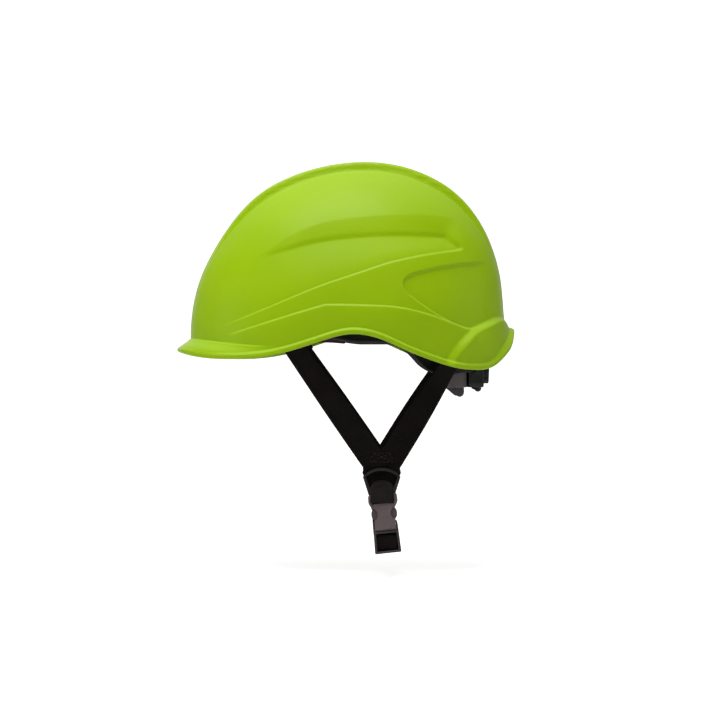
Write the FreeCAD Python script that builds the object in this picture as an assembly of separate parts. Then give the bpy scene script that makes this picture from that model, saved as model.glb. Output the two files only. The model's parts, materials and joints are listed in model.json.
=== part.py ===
import FreeCAD, Part
import math
import os

# Climbing helmet with a cap shell, strap suspension, nape ratchet and buckled chin harness.
# Millimetres. +Z up, the brow points to -X, the wearer's left side is -Y.
# The origin is the middle of the head opening, at the lower edge of the headband.

V = FreeCAD.Vector
UP = V(0, 0, 1)
ACROSS = V(0, 1, 0)
LEFT = -1
RIGHT = 1

# ---------------------------------------------------------------- driving dimensions

# Shell: radii are measured from a point inside the shell, by angle in the side view
# (0 = rear, 90 = crown, 180 = brow).
SHELL_CENTRE = V(2, 0, -10)
SHELL_OUTLINE = [(-22, 128), (0, 132.5), (15, 134.5), (30, 145), (45, 154.5), (60, 159), (75, 159.5),
                 (90, 156.5), (105, 153), (120, 149.5), (135, 144.5), (150, 140.3), (165, 135.3),
                 (180, 131), (202, 128)]
SHELL_HALF_WIDTH = 106
SHELL_POWER = 2.3
SHELL_WALL = 3.0
SHELL_ROWS = 72
SHELL_COLUMNS = 57
SHELL_SIDE_LIMIT = 82

# Crown rib along the middle of the shell.
RIB_HEIGHT = 4.5
RIB_HALF_WIDTH = 27
RIB_SLOPE = 8
RIB_REAR_ANGLES = (36, 60)
RIB_FRONT_ANGLES = (142, 114)

# Brow lip and rear bumper.
LIP_LENGTH = 10
LIP_TOP = 4
LIP_BOTTOM = -5
BUMPER_DEPTH = 5
BUMPER_TOP = 17
BUMPER_FULL = 10
BUMPER_START = 80
BUMPER_END = 112

# Lower edge of the shell in the side view, from brow to rear.
RIM = [(-142, -4.6), (-128, -8.4), (-96, -11.6), (-57, -8.3), (-36.5, -2.9), (-16.5, 3.6), (2, 8),
       (12, 8), (30.5, 3.4), (50, -5.3), (69, -12.6), (89, -18.6), (104, -20.2), (118.5, -18.4),
       (131.5, -9.2), (137.2, -1.7), (139.6, 6), (142, 15)]

# Head oval of the headband, seen from above.
OVAL_POWER = 2.2
BAND_HALF_LENGTH = 106
BAND_HALF_WIDTH = 83
BAND_THICKNESS = 2
BAND_HEIGHT = 32
BAND_END_ANGLE = 62
PAD_GAP = 0.3
BROW_PAD_DEPTH = 6
BROW_PAD_END_ANGLE = 88

# Suspension keys: plan angle of each key, height of its socket.
KEY_ANGLES = (160, 90, -90, -160)
REAR_KEY_ANGLES = (20, -20)
STRAP_ANGLE = 20
KEY_HEIGHT = 30
KEY_WIDTH = 20
KEY_THICKNESS = 2.6
KEY_FACE = -5.1
KEY_DROP = 14
KEY_HEAD = 3
SOCKET_DEPTH = 7
SOCKET_HEIGHT = 12
SOCKET_HALF_WIDTH = 13
SOCKET_OVERLAP = 1.6
SLOT_FACE = -5.3
SLOT_DEPTH = 3
SLOT_CLEARANCE = 0.2
PEG_SHOULDER = 1.6
PEG_ROOT = -4
PEG_RADIUS = 2.4
PEG_CLEARANCE = 0.15
PEG_DROP = -11.4

# Crown straps.
CROWN_STRAP_WIDTH = 20
CROWN_STRAP_THICKNESS = 1.2
CROWN_STRAP_HEIGHT = 104
CROWN_STRAP_STEP = 1.7
CROWN_STRAP_SETBACK = 8.8
CROWN_STRAP_DROP = 4
CROWN_POWER = 2.4
CROWN_PAD_RADIUS = 34
CROWN_PAD_GAP = 2.2
CROWN_PAD_CURVE = 150
CROWN_PAD_THICKNESS = 5

# Nape arms and their pivots.
PIVOT_X = 30
PIVOT_Z = 14
PIVOT_RADIUS = 3
PIVOT_INSET = 1.4
PIVOT_HEAD_RADIUS = 5
PIVOT_HEAD = 1.4
PIVOT_HEAD_FACE = 88.0
ARM_THICKNESS = 1.8
ARM_PATH = [(69, 11, 10), (60, 4, 9), (49, -10, 9.5), (38, -17, 9), (27, -17, 7.5), (19.2, -16, 7)]
ARM_HALF_LENGTH = 109
ARM_HALF_WIDTH = 86.6

# Nape ratchet. The knob turns about a line along X.
RATCHET_Z = -16
HOUSING_FRONT = 101.4
HOUSING_BACK = 114
HOUSING_HALF_WIDTH = 34
HOUSING_TOP = 2
HOUSING_BOTTOM = -36
HOUSING_WALL = 2
HOUSING_CORNER = 4
HOUSING_REAR_FILLET = 1.2
CAVITY_REAR = 108
CAVITY_HALF_HEIGHT = 11.5
MOUTH_HALF_HEIGHT = 7.6
MOUTH_CLEARANCE = 0.4
POCKET_FRONT = 107.5
NUB_RADIUS = 3.4
NUB_HALF_WIDTH = 5
NUB_SETBACK = 6
NUB_RISE = 1.2
COVER_THICKNESS = 2
SCREW_Y = 27
SCREW_INSET = 6
SCREW_RADIUS = 0.9
SCREW_BORE = 1.2
SCREW_HEAD_RADIUS = 2.2
SCREW_HEAD_DEPTH = 1.1
SCREW_TIP = 109
SCREW_HOLE_END = 110
RACK_FRONT = 103.9
RACK_THICKNESS = 2.6
RACK_SPINE = 2.6
RACK_REACH = 12
RACK_TAIL = 25.6
PINION_TEETH = 12
GEAR_MODULE = 1.0
TOOTH_ADDENDUM = 0.9
TOOTH_DEDENDUM = 1.2
PRESSURE_ANGLE = math.radians(20)
TOOTH_BACKLASH = 0.2
TOOTH_TIP_GAP = 0.2
PINION_LENGTH = 3.4
SHAFT_RADIUS = 3
SHAFT_CLEARANCE = 0.08
KNOB_RADIUS = 17
KNOB_FRONT = 114.4
KNOB_BACK = 119.2
KNOB_GRIPS = 12
GRIP_RADIUS = 2.6
GRIP_OFFSET = 1.6
KNOB_DISH_RADIUS = 12
KNOB_DISH_DEPTH = 1.4
KNOB_HUB_RADIUS = 5
KNOB_HUB_DEPTH = 0.6
KNOB_SCREW_RADIUS = 1
KNOB_SCREW_LENGTH = 8
KNOB_SCREW_HEAD = 1.2
DETENT_NOTCHES = 24
DETENT_RADIUS = 11.2
DETENT_NOTCH = 0.8
PAWL_FRONT = 108.6
PAWL_BACK = 110.8
PAWL_HUB_RADIUS = 7
PAWL_FINGER = [(-1.6, 5), (1.6, 5), (3.4, 9.4), (2.2, 10.7), (1.2, 9.6)]

# Nape cradle plate and pad.
CRADLE_HALF_LENGTH = 103
CRADLE_HALF_WIDTH = 80
CRADLE_FLAT_X = 98.7
CRADLE_BLEND = 6
CRADLE_THICKNESS = 2.4
CRADLE_TOP = -8
CRADLE_BOTTOM = -36
CRADLE_END_Y = 57
NAPE_PAD_DEPTH = 5
NAPE_PAD_BOTTOM = -44

# Chin harness.
STRAP_WIDTH = 20
STRAP_THICKNESS = 1.6
STRAP_LAYER = 0.9
STRAP_START = 1.5
HARNESS_Y = 84
FRONT_STRAP_TOP = V(-52, 89, 12.5)
REAR_STRAP_TOP = V(96, 70.5, 2.5)
STRAP_JOIN = V(29.2, 84, -93.8)
JOIN_SPREAD = 5.5
TAB_LENGTH = 21
TAB_THICKNESS = 2
TAB_MARGIN = 2.5
TAB_HEAD = 6
TAB_SLOT_HEIGHT = 3.4
TAB_SLOT_TOP = -13
TAB_SLOT_MARGIN = 2.4
ANCHOR_RADIUS = 5
ANCHOR_DEPTH = 6
ANCHOR_OVERLAP = 1.2
ANCHOR_HOLE_END = -0.8
RIVET_RADIUS = 1.7
RIVET_CLEARANCE = 0.1
RIVET_HEAD_RADIUS = 3.6
RIVET_HEAD = 1.3
RIVET_TIP = -1.2

# Strap divider ring.
RING_TOP_Z = -100.4
RING_WIDE_Z = -107.6
RING_BAR_Z = -121.4
RING_HALF_WIDTH = 15.2
RING_FOOT_HALF_WIDTH = 10.5
RING_BAR = 2.2
RING_DEPTH = 2.4
RING_BAR_HALF_LENGTH = 9

# Side-release buckle, drawn upright with its mouth at zero, then tilted.
BUCKLE_MOUTH = V(32.6, -84, -150.4)
BUCKLE_TILT = -6
BUCKLE_THICKNESS = 7.5
BUCKLE_WEB_WIDTH = 15.4
LOOP_RADIUS = 2.1
WEB_THICKNESS = 1.4
WEB_RISE = 40
FEMALE_HALF_WIDTH = 8.4
FEMALE_TOP = 20.4
EAR_HALF_WIDTH = 11.6
EAR_TOP = 26.6
EAR_ARM = 2.7
EAR_STEP = 1.5
EYE_BAR_Z = 24.9
EYE_BAR_RADIUS = 1.1
CAVITY_HALF_WIDTH = 7.2
CAVITY_HALF_DEPTH = 2.3
CAVITY_TOP = 18.6
WINDOW_Z = 13.2
WINDOW_HALF_HEIGHT = 4.2
WINDOW_HALF_WIDTH = 3.4
MALE_BOTTOM = -18.6
MALE_HALF_WIDTH = 10.6
MALE_THICKNESS = 5.6
MALE_WINDOW_TOP = -3.8
MALE_WINDOW_BOTTOM = -16.2
MALE_WINDOW_HALF_WIDTH = 8.5
MALE_TOP = -0.3
SHOULDER_INNER = 8.7
SHOULDER_OUTER = 9.5
SHOULDER_TOP = 7.4
GUIDE_HALF_WIDTH = 1.4
GUIDE_HALF_DEPTH = 1.8
GUIDE_TOP = 14
MIDDLE_BAR_Z = -9.8
MIDDLE_BAR_RADIUS = 1.3
MIDDLE_BAR_SETBACK = 0.6
LATCH_ROOT_Z = 0.9
LATCH_X = 5.6
LATCH_HALF_DEPTH = 2.0
LATCH_HALF_WIDTH = 0.8

# Webbing under the chin.
CHIN_WEB_FRONT = 2.2
CHIN_WEB_TURN = 3.2
CHIN_WEB_DROP = 4.4
CHIN_WEB_SAG = 2.2
CHIN_WEB_TAIL = 22
BAR_CLEARANCE = 0.7
LOOP_TAB_TOP = 6
LOOP_TAB_FOOT = 3


# ---------------------------------------------------------------- general shapes

def smooth(value, start, end):
    """0 at start, 1 at end, with a soft S between."""
    t = min(1, max(0, (value - start) / (end - start)))
    return t * t * (3 - 2 * t)


def box(low, high):
    return Part.makeBox(high[0] - low[0], high[1] - low[1], high[2] - low[2], V(*low))


def rod(radius, start, end):
    direction = end - start
    return Part.makeCylinder(radius, direction.Length, start, direction)


def prism(points, direction):
    """Straight-sided outline pushed along a direction."""
    wire = Part.makePolygon(points + [points[0]])
    return Part.Face(wire).extrude(direction)


def fuse(shapes):
    return shapes[0].fuse(shapes[1:]).removeSplitter()


def spline_edge(points):
    curve = Part.BSplineCurve()
    curve.interpolate(points)
    return curve.toShape()


def closed_solid(faces):
    skin = Part.Compound(faces)
    skin.sewShape()
    solid = Part.Solid(skin.Shells[0])
    if solid.Volume < 0:
        solid.reverse()
    return solid


def strip(rails):
    """Long solid between four edges, given as rows of points in order round the section."""
    edges = [spline_edge(rail) for rail in rails]
    faces = [Part.makeRuledSurface(edges[i], edges[(i + 1) % 4]) for i in range(4)]
    for end in (0, -1):
        first = Part.makeLine(rails[0][end], rails[1][end])
        second = Part.makeLine(rails[3][end], rails[2][end])
        faces.append(Part.makeRuledSurface(first, second))
    return closed_solid(faces)


def ribbon(centres, widths, normals, width, thickness):
    """Webbing along a row of centre points, with its width and normal directions."""
    rails = []
    for side, layer in ((-1, -1), (1, -1), (1, 1), (-1, 1)):
        rail = []
        for centre, across, normal in zip(centres, widths, normals):
            rail.append(centre + across * (side * width / 2) + normal * (layer * thickness / 2))
        rails.append(rail)
    return strip(rails)


def placed(shape, angle, position):
    """Shape drawn with x outwards, turned by a plan angle and moved to its place."""
    moved = shape.copy()
    moved.rotate(V(0, 0, 0), UP, angle)
    moved.translate(position)
    return moved


# ---------------------------------------------------------------- shell surface

def outline_curve():
    angles = [angle for angle, radius in SHELL_OUTLINE]
    points = [V(angle, radius, 0) for angle, radius in SHELL_OUTLINE]
    curve = Part.BSplineCurve()
    curve.interpolate(points, Parameters=angles)
    return curve


OUTLINE = outline_curve()


def shell_radius(side_angle, lift):
    """Outer radius in the direction given by the side-view angle and the angle out to the side."""
    flat = OUTLINE.value(side_angle).y
    lift_angle = math.radians(lift)
    along = (math.cos(lift_angle) / flat) ** SHELL_POWER
    beside = (abs(math.sin(lift_angle)) / SHELL_HALF_WIDTH) ** SHELL_POWER
    radius = (along + beside) ** (-1 / SHELL_POWER)
    direction = shell_direction(side_angle, lift)
    place = SHELL_CENTRE + direction * radius

    rise = smooth(side_angle, *RIB_REAR_ANGLES) * smooth(side_angle, *RIB_FRONT_ANGLES)
    rib = RIB_HEIGHT * rise * smooth(abs(place.y), RIB_HALF_WIDTH + RIB_SLOPE, RIB_HALF_WIDTH)

    brow = smooth(-place.x, 40, 118)
    lip = LIP_LENGTH * brow * smooth(place.z, LIP_TOP, LIP_BOTTOM)

    rear = smooth(place.x, BUMPER_START, BUMPER_END)
    bumper = BUMPER_DEPTH * rear * smooth(place.z, BUMPER_TOP, BUMPER_FULL)
    return radius + rib + lip + bumper


def shell_direction(side_angle, lift):
    side = math.radians(side_angle)
    out = math.radians(lift)
    return V(math.cos(out) * math.cos(side), math.sin(out), math.cos(out) * math.sin(side))


def shell_grid(inset):
    first = SHELL_OUTLINE[0][0]
    last = SHELL_OUTLINE[-1][0]
    rows = []
    for i in range(SHELL_ROWS):
        side_angle = first + (last - first) * i / (SHELL_ROWS - 1)
        row = []
        for j in range(SHELL_COLUMNS):
            u = 2 * j / (SHELL_COLUMNS - 1) - 1
            lift = SHELL_SIDE_LIMIT * (0.5 * u + 0.5 * u ** 3)
            radius = shell_radius(side_angle, lift) - inset
            row.append(SHELL_CENTRE + shell_direction(side_angle, lift) * radius)
        rows.append(row)
    return rows


def wall_radius(plan_angle, height, inset=SHELL_WALL):
    """Distance from the middle axis to the inside of the shell wall, at a height."""
    angle = math.radians(plan_angle)
    near, far = 20.0, 160.0
    for step in range(30):
        middle = (near + far) / 2
        offset = V(middle * math.cos(angle), middle * math.sin(angle), height) - V(0, 0, SHELL_CENTRE.z)
        side_angle = math.degrees(math.atan2(offset.z, offset.x))
        lift = math.degrees(math.asin(offset.y / offset.Length))
        if offset.Length < shell_radius(side_angle, lift) - inset:
            near = middle
        else:
            far = middle
    return near


def wall_point(plan_angle, height):
    angle = math.radians(plan_angle)
    radius = wall_radius(plan_angle, height)
    return V(SHELL_CENTRE.x + radius * math.cos(angle), radius * math.sin(angle), height)


def shell_skin():
    """Thick curved sheet, larger than the shell, with an outer and an inner surface."""
    patches = []
    for inset in (0, SHELL_WALL):
        surface = Part.BSplineSurface()
        surface.interpolate(shell_grid(inset))
        patches.append(surface)
    outer, inner = patches
    faces = [outer.toShape(), inner.toShape()]
    u0, u1, v0, v1 = outer.bounds()
    for u in (u0, u1):
        faces.append(Part.makeRuledSurface(outer.uIso(u).toShape(), inner.uIso(u).toShape()))
    for v in (v0, v1):
        faces.append(Part.makeRuledSurface(outer.vIso(v).toShape(), inner.vIso(v).toShape()))
    return closed_solid(faces)


def rim_cutter():
    """Everything above the lower edge line, as a block across the helmet."""
    reach = 200
    points = [V(x, -reach, z) for x, z in RIM]
    corners = [V(reach, -reach, RIM[-1][1]), V(reach, -reach, reach), V(-reach, -reach, reach),
               V(-reach, -reach, RIM[0][1])]
    edges = [spline_edge(points)]
    path = [points[-1]] + corners + [points[0]]
    for start, end in zip(path, path[1:]):
        edges.append(Part.makeLine(start, end))
    face = Part.Face(Part.Wire(edges))
    return face.extrude(V(0, 2 * reach, 0))


# ---------------------------------------------------------------- shell fittings

def socket():
    """Boss with a slot, drawn with x outwards and the wall at zero."""
    half = SOCKET_HEIGHT / 2
    side = KEY_WIDTH / 2 + SLOT_CLEARANCE
    boss = box((-SOCKET_DEPTH, -SOCKET_HALF_WIDTH, -half), (SOCKET_OVERLAP, SOCKET_HALF_WIDTH, half))
    slot = box((SLOT_FACE, -side, -half - 1), (SLOT_FACE + SLOT_DEPTH, side, half + 1))
    return boss.cut(slot)


def key(peg_end):
    """Hanger that drops through the socket; a peg at its foot carries the headband."""
    half = SOCKET_HEIGHT / 2
    side = KEY_WIDTH / 2
    outer = KEY_FACE + KEY_THICKNESS
    plate = box((KEY_FACE, -side, -KEY_DROP), (outer, side, half + KEY_HEAD - 1))
    head = box((KEY_FACE - 1.5, -side, half + 0.1), (outer, side, half + KEY_HEAD))
    pieces = [plate, head]
    if peg_end:
        root = V(PEG_ROOT, 0, PEG_DROP)
        shoulder = peg_end + BAND_THICKNESS + 0.8
        pieces.append(rod(PEG_RADIUS, root, V(peg_end, 0, PEG_DROP)))
        pieces.append(rod(PEG_RADIUS + PEG_SHOULDER, root, V(shoulder, 0, PEG_DROP)))
    return fuse(pieces)


def band_radius(plan_angle, half_length, half_width):
    angle = math.radians(plan_angle)
    along = (abs(math.cos(angle)) / half_length) ** OVAL_POWER
    beside = (abs(math.sin(angle)) / half_width) ** OVAL_POWER
    return (along + beside) ** (-1 / OVAL_POWER)


def wall_normal(plan_angle, height):
    """Plan angle of the wall's outward normal."""
    step = 3
    along = wall_point(plan_angle + step, height) - wall_point(plan_angle - step, height)
    return math.degrees(math.atan2(-along.x, along.y))


def oval_point(plan_angle, half_length, half_width, height):
    angle = math.radians(plan_angle)
    radius = band_radius(plan_angle, half_length, half_width)
    return V(SHELL_CENTRE.x + radius * math.cos(angle), radius * math.sin(angle), height)


def oval_distance(start, plan_angle, half_length, half_width):
    """Distance inwards from a point on the wall to an oval, along the wall's normal."""
    angle = math.radians(plan_angle)
    inwards = V(-math.cos(angle), -math.sin(angle), 0)
    near, far = 0.0, 60.0
    for step in range(30):
        middle = (near + far) / 2
        place = start + inwards * middle
        share = (abs(place.x - SHELL_CENTRE.x) / half_length) ** OVAL_POWER
        share += (abs(place.y) / half_width) ** OVAL_POWER
        if share > 1:
            near = middle
        else:
            far = middle
    return near


def on_wall(shape, plan_angle):
    """Shape drawn with x outwards, set square to the wall at the height of the sockets."""
    return placed(shape, wall_normal(plan_angle, KEY_HEIGHT), wall_point(plan_angle, KEY_HEIGHT))


def suspension_keys():
    keys = []
    for angle in KEY_ANGLES:
        normal = wall_normal(angle, KEY_HEIGHT)
        gap = oval_distance(wall_point(angle, KEY_HEIGHT), normal, BAND_HALF_LENGTH, BAND_HALF_WIDTH)
        keys.append(on_wall(key(-gap + 0.5), angle))
    return Part.Compound(keys)


def rear_strap_keys():
    return Part.Compound([on_wall(key(None), angle) for angle in REAR_KEY_ANGLES])


def strap_top(front, side):
    top = FRONT_STRAP_TOP if front else REAR_STRAP_TOP
    return V(top.x, side * top.y, top.z)


def strap_foot(front, side):
    shift = -JOIN_SPREAD if front else JOIN_SPREAD
    layer = STRAP_LAYER if front else -STRAP_LAYER
    return V(STRAP_JOIN.x + shift, side * (STRAP_JOIN.y + layer), STRAP_JOIN.z)


def anchor_frame(front, side):
    """Origin at the rivet on the wall, outward normal, and the direction down the strap."""
    top = strap_top(front, side)
    down = strap_foot(front, side) - top
    down.normalize()
    rivet = top - down * TAB_LENGTH
    plan_angle = math.degrees(math.atan2(rivet.y, rivet.x - SHELL_CENTRE.x))
    wall = wall_point(plan_angle, rivet.z)
    outward = V(math.cos(math.radians(plan_angle)), math.sin(math.radians(plan_angle)), 0)
    tangent = down - outward * down.dot(outward)
    tangent.normalize()
    return wall, outward, tangent


def anchor_matrix(front, side):
    """Turns a shape drawn with x outwards and -z down the strap to its anchor."""
    wall, outward, tangent = anchor_frame(front, side)
    up = tangent * -1
    beside = up.cross(outward)
    return FreeCAD.Matrix(outward.x, beside.x, up.x, wall.x,
                          outward.y, beside.y, up.y, wall.y,
                          outward.z, beside.z, up.z, wall.z,
                          0, 0, 0, 1)


def anchored(shape, front, side):
    moved = shape.copy()
    moved.transformShape(anchor_matrix(front, side))
    return moved


def anchor_boss():
    boss = rod(ANCHOR_RADIUS, V(-ANCHOR_DEPTH, 0, 0), V(ANCHOR_OVERLAP, 0, 0))
    hole_start = V(-ANCHOR_DEPTH - 1, 0, 0)
    return boss.cut(rod(RIVET_RADIUS + RIVET_CLEARANCE, hole_start, V(ANCHOR_HOLE_END, 0, 0)))


def anchor_tab():
    half = STRAP_WIDTH / 2 + TAB_MARGIN
    front = -ANCHOR_DEPTH - RIVET_CLEARANCE - TAB_THICKNESS
    back = front + 2 * TAB_THICKNESS
    foot = -TAB_LENGTH + 1
    right = [(TAB_HEAD, TAB_HEAD), (half, -TAB_HEAD - 1), (half, foot)]
    plate = prism([V(front, y, z) for y, z in both_sides(right)], V(TAB_THICKNESS, 0, 0))
    slot_side = half - TAB_SLOT_MARGIN
    slot = box((front - 1, -slot_side, TAB_SLOT_TOP - TAB_SLOT_HEIGHT), (back, slot_side, TAB_SLOT_TOP))
    hole = rod(RIVET_RADIUS + RIVET_CLEARANCE, V(front - 1, 0, 0), V(back, 0, 0))
    return plate.cut(slot).cut(hole)


def anchor_rivet():
    head_face = -ANCHOR_DEPTH - 2 * RIVET_CLEARANCE - TAB_THICKNESS
    head = rod(RIVET_HEAD_RADIUS, V(head_face - RIVET_HEAD, 0, 0), V(head_face, 0, 0))
    return fuse([head, rod(RIVET_RADIUS, V(head_face, 0, 0), V(RIVET_TIP, 0, 0))])


ANCHORS = [(front, side) for side in (LEFT, RIGHT) for front in (True, False)]


def at_anchors(shape):
    return [anchored(shape, front, side) for front, side in ANCHORS]


def shell():
    body = shell_skin().common(rim_cutter())
    fittings = []
    for angle in KEY_ANGLES + REAR_KEY_ANGLES:
        fittings.append(on_wall(socket(), angle))
    fittings += at_anchors(anchor_boss())
    return body.fuse(fittings)


# ---------------------------------------------------------------- suspension

def band(angles, half_length, half_width, thickness, low, high):
    rails = []
    for extra, top in ((0, False), (thickness, False), (thickness, True), (0, True)):
        rail = []
        for angle in angles:
            height = high if top else low
            rail.append(oval_point(angle, half_length + extra, half_width + extra, height))
        rails.append(rail)
    return strip(rails)


def spread(start, end, count):
    return [start + (end - start) * i / (count - 1) for i in range(count)]


def pivot_hole(side):
    inner = V(PIVOT_X, side * (BAND_HALF_WIDTH - 13), PIVOT_Z)
    outer = V(PIVOT_X, side * (BAND_HALF_WIDTH + 15), PIVOT_Z)
    return rod(PIVOT_RADIUS + SHAFT_CLEARANCE, inner, outer)


def headband():
    angles = spread(BAND_END_ANGLE, 360 - BAND_END_ANGLE, 41)
    hoop = band(angles, BAND_HALF_LENGTH, BAND_HALF_WIDTH, BAND_THICKNESS, 0, BAND_HEIGHT)
    for angle in KEY_ANGLES:
        hole = rod(PEG_RADIUS + PEG_CLEARANCE, V(-30, 0, PEG_DROP), V(-7, 0, PEG_DROP))
        hoop = hoop.cut(on_wall(hole, angle))
    for side in (LEFT, RIGHT):
        hoop = hoop.cut(pivot_hole(side))
    return hoop


def brow_pad():
    angles = spread(BROW_PAD_END_ANGLE, 360 - BROW_PAD_END_ANGLE, 33)
    depth = BROW_PAD_DEPTH
    return band(angles, BAND_HALF_LENGTH - PAD_GAP - depth, BAND_HALF_WIDTH - PAD_GAP - depth, depth,
                -1, BAND_HEIGHT + 1)


def crown_strap(angle, layer):
    """Strap from one key over the head to the opposite key."""
    height = CROWN_STRAP_HEIGHT + layer * CROWN_STRAP_STEP
    foot_z = KEY_HEIGHT - CROWN_STRAP_DROP
    ends = [wall_radius(turn, KEY_HEIGHT) - CROWN_STRAP_SETBACK for turn in (angle, angle + 180)]
    half = []
    for t in spread(0, 90, 13):
        c = math.cos(math.radians(t)) ** (2 / CROWN_POWER)
        s = math.sin(math.radians(t)) ** (2 / CROWN_POWER)
        half.append((c, s))
    track = [(c * ends[0], foot_z + s * (height - foot_z)) for c, s in half]
    track += [(-c * ends[1], foot_z + s * (height - foot_z)) for c, s in reversed(half[:-1])]
    out = V(math.cos(math.radians(angle)), math.sin(math.radians(angle)), 0)
    across = V(-out.y, out.x, 0)
    centres = [V(SHELL_CENTRE.x, 0, z) + out * r for r, z in track]
    normals = []
    for i in range(len(track)):
        before = track[max(i - 1, 0)]
        after = track[min(i + 1, len(track) - 1)]
        along = V(after[0] - before[0], 0, after[1] - before[1])
        along.normalize()
        normals.append(out * along.z * -1 + UP * along.x)
    return ribbon(centres, [across] * len(centres), normals, CROWN_STRAP_WIDTH, CROWN_STRAP_THICKNESS)


def crown_pad():
    """Soft disc under the crossing of the crown straps."""
    top = CROWN_STRAP_HEIGHT - CROWN_PAD_GAP
    centre = V(SHELL_CENTRE.x, 0, top - CROWN_PAD_CURVE)
    ball = Part.makeSphere(CROWN_PAD_CURVE, centre)
    inner = Part.makeSphere(CROWN_PAD_CURVE - CROWN_PAD_THICKNESS, centre)
    column = Part.makeCylinder(CROWN_PAD_RADIUS, 40, V(SHELL_CENTRE.x, 0, top - 30), UP)
    return column.common(ball).cut(inner)


# ---------------------------------------------------------------- nape arms, cradle and ratchet

def nape_arm(side):
    """Curved arm from the side pivot down and back to the mouth of the ratchet housing."""
    rails = []
    for extra, edge in ((0, -1), (ARM_THICKNESS, -1), (ARM_THICKNESS, 1), (0, 1)):
        rail = []
        for angle, height, half in ARM_PATH:
            rail.append(oval_point(side * angle, ARM_HALF_LENGTH + extra, ARM_HALF_WIDTH + extra,
                                   height + edge * half))
        rails.append(rail)
    arm = strip(rails)
    return arm.cut(pivot_hole(side))


def pivot_pins():
    pins = []
    for side in (LEFT, RIGHT):
        inner = V(PIVOT_X, side * (BAND_HALF_WIDTH - PIVOT_INSET), PIVOT_Z)
        face = V(PIVOT_X, side * PIVOT_HEAD_FACE, PIVOT_Z)
        outer = V(PIVOT_X, side * (PIVOT_HEAD_FACE + PIVOT_HEAD), PIVOT_Z)
        pins.append(fuse([rod(PIVOT_RADIUS, inner, face), rod(PIVOT_HEAD_RADIUS, face, outer)]))
    return Part.Compound(pins)


def cradle_x(y, extra):
    """Rear plate: follows the head oval at the sides and is flat across the back."""
    share = (abs(y) / (CRADLE_HALF_WIDTH + extra)) ** OVAL_POWER
    oval = SHELL_CENTRE.x + (CRADLE_HALF_LENGTH + extra) * (1 - share) ** (1 / OVAL_POWER)
    start = CRADLE_FLAT_X + extra - CRADLE_BLEND
    if oval < start:
        return oval
    return start + CRADLE_BLEND * math.tanh((oval - start) / CRADLE_BLEND)


def cradle_slab(thickness, setback, low, high, end_y):
    rows = []
    outer = setback + thickness
    for extra, height in ((setback, low), (outer, low), (outer, high), (setback, high)):
        rows.append([V(cradle_x(y, extra), y, height) for y in spread(-end_y, end_y, 25)])
    return strip(rows)


def nape_cradle():
    return cradle_slab(CRADLE_THICKNESS, 0, CRADLE_BOTTOM, CRADLE_TOP, CRADLE_END_Y)


def nape_pad():
    depth = NAPE_PAD_DEPTH
    return cradle_slab(depth, -depth - PAD_GAP, NAPE_PAD_BOTTOM, CRADLE_TOP - 1, CRADLE_END_Y - 3)


def cover_screw_places():
    heights = (HOUSING_TOP - SCREW_INSET, HOUSING_BOTTOM + SCREW_INSET)
    return [(y, z) for y in (-SCREW_Y, SCREW_Y) for z in heights]


def round_corners(block):
    """Rounds the four edges of a block that run along X."""
    return block.makeFillet(HOUSING_CORNER, [edge for edge in block.Edges if abs(edge.tangentAt(0).x) > 0.99])


def on_axis(x):
    """Point on the knob's axis."""
    return V(x, 0, RATCHET_Z)


def ratchet_housing():
    side = HOUSING_HALF_WIDTH
    front = HOUSING_FRONT + COVER_THICKNESS
    cut_front = front - 1
    pocket_back = HOUSING_BACK - HOUSING_WALL
    outer = round_corners(box((front, -side, HOUSING_BOTTOM), (HOUSING_BACK, side, HOUSING_TOP)))
    rear_edges = [edge for edge in outer.Edges if edge.BoundBox.XMin > HOUSING_BACK - 0.01]
    outer = outer.makeFillet(HOUSING_REAR_FILLET, rear_edges)
    inner_side = side - HOUSING_WALL
    cavity = box((cut_front, -inner_side, RATCHET_Z - CAVITY_HALF_HEIGHT),
                 (CAVITY_REAR, inner_side, RATCHET_Z + CAVITY_HALF_HEIGHT))
    mouth_back = RACK_FRONT + RACK_THICKNESS + MOUTH_CLEARANCE
    mouth = box((cut_front, -side - 1, RATCHET_Z - MOUTH_HALF_HEIGHT),
                (mouth_back, side + 1, RATCHET_Z + MOUTH_HALF_HEIGHT))
    pocket = rod(DETENT_RADIUS, on_axis(POCKET_FRONT), on_axis(pocket_back))
    bore = rod(SHAFT_RADIUS + SHAFT_CLEARANCE, on_axis(CAVITY_REAR - 1), on_axis(HOUSING_BACK + 1))
    notches = []
    for i in range(DETENT_NOTCHES):
        turn = 2 * math.pi * i / DETENT_NOTCHES
        y = DETENT_RADIUS * math.cos(turn)
        z = RATCHET_Z + DETENT_RADIUS * math.sin(turn)
        notches.append(rod(DETENT_NOTCH, V(CAVITY_REAR, y, z), V(pocket_back, y, z)))
    body = outer.cut([cavity, mouth, pocket, bore] + notches)
    for y, z in cover_screw_places():
        body = body.cut(rod(SCREW_RADIUS, V(cut_front, y, z), V(SCREW_HOLE_END, y, z)))
    nub_x = HOUSING_BACK - NUB_SETBACK
    nub_z = HOUSING_BOTTOM + NUB_RISE
    return body.fuse(rod(NUB_RADIUS, V(nub_x, -NUB_HALF_WIDTH, nub_z), V(nub_x, NUB_HALF_WIDTH, nub_z)))


def ratchet_cover():
    side = HOUSING_HALF_WIDTH
    face = HOUSING_FRONT
    plate = round_corners(box((face, -side, HOUSING_BOTTOM), (face + COVER_THICKNESS, side, HOUSING_TOP)))
    for y, z in cover_screw_places():
        start = V(face - 1, y, z)
        plate = plate.cut(rod(SCREW_BORE, start, V(face + COVER_THICKNESS + 1, y, z)))
        plate = plate.cut(rod(SCREW_HEAD_RADIUS + 0.1, start, V(face + SCREW_HEAD_DEPTH, y, z)))
    return plate


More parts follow.
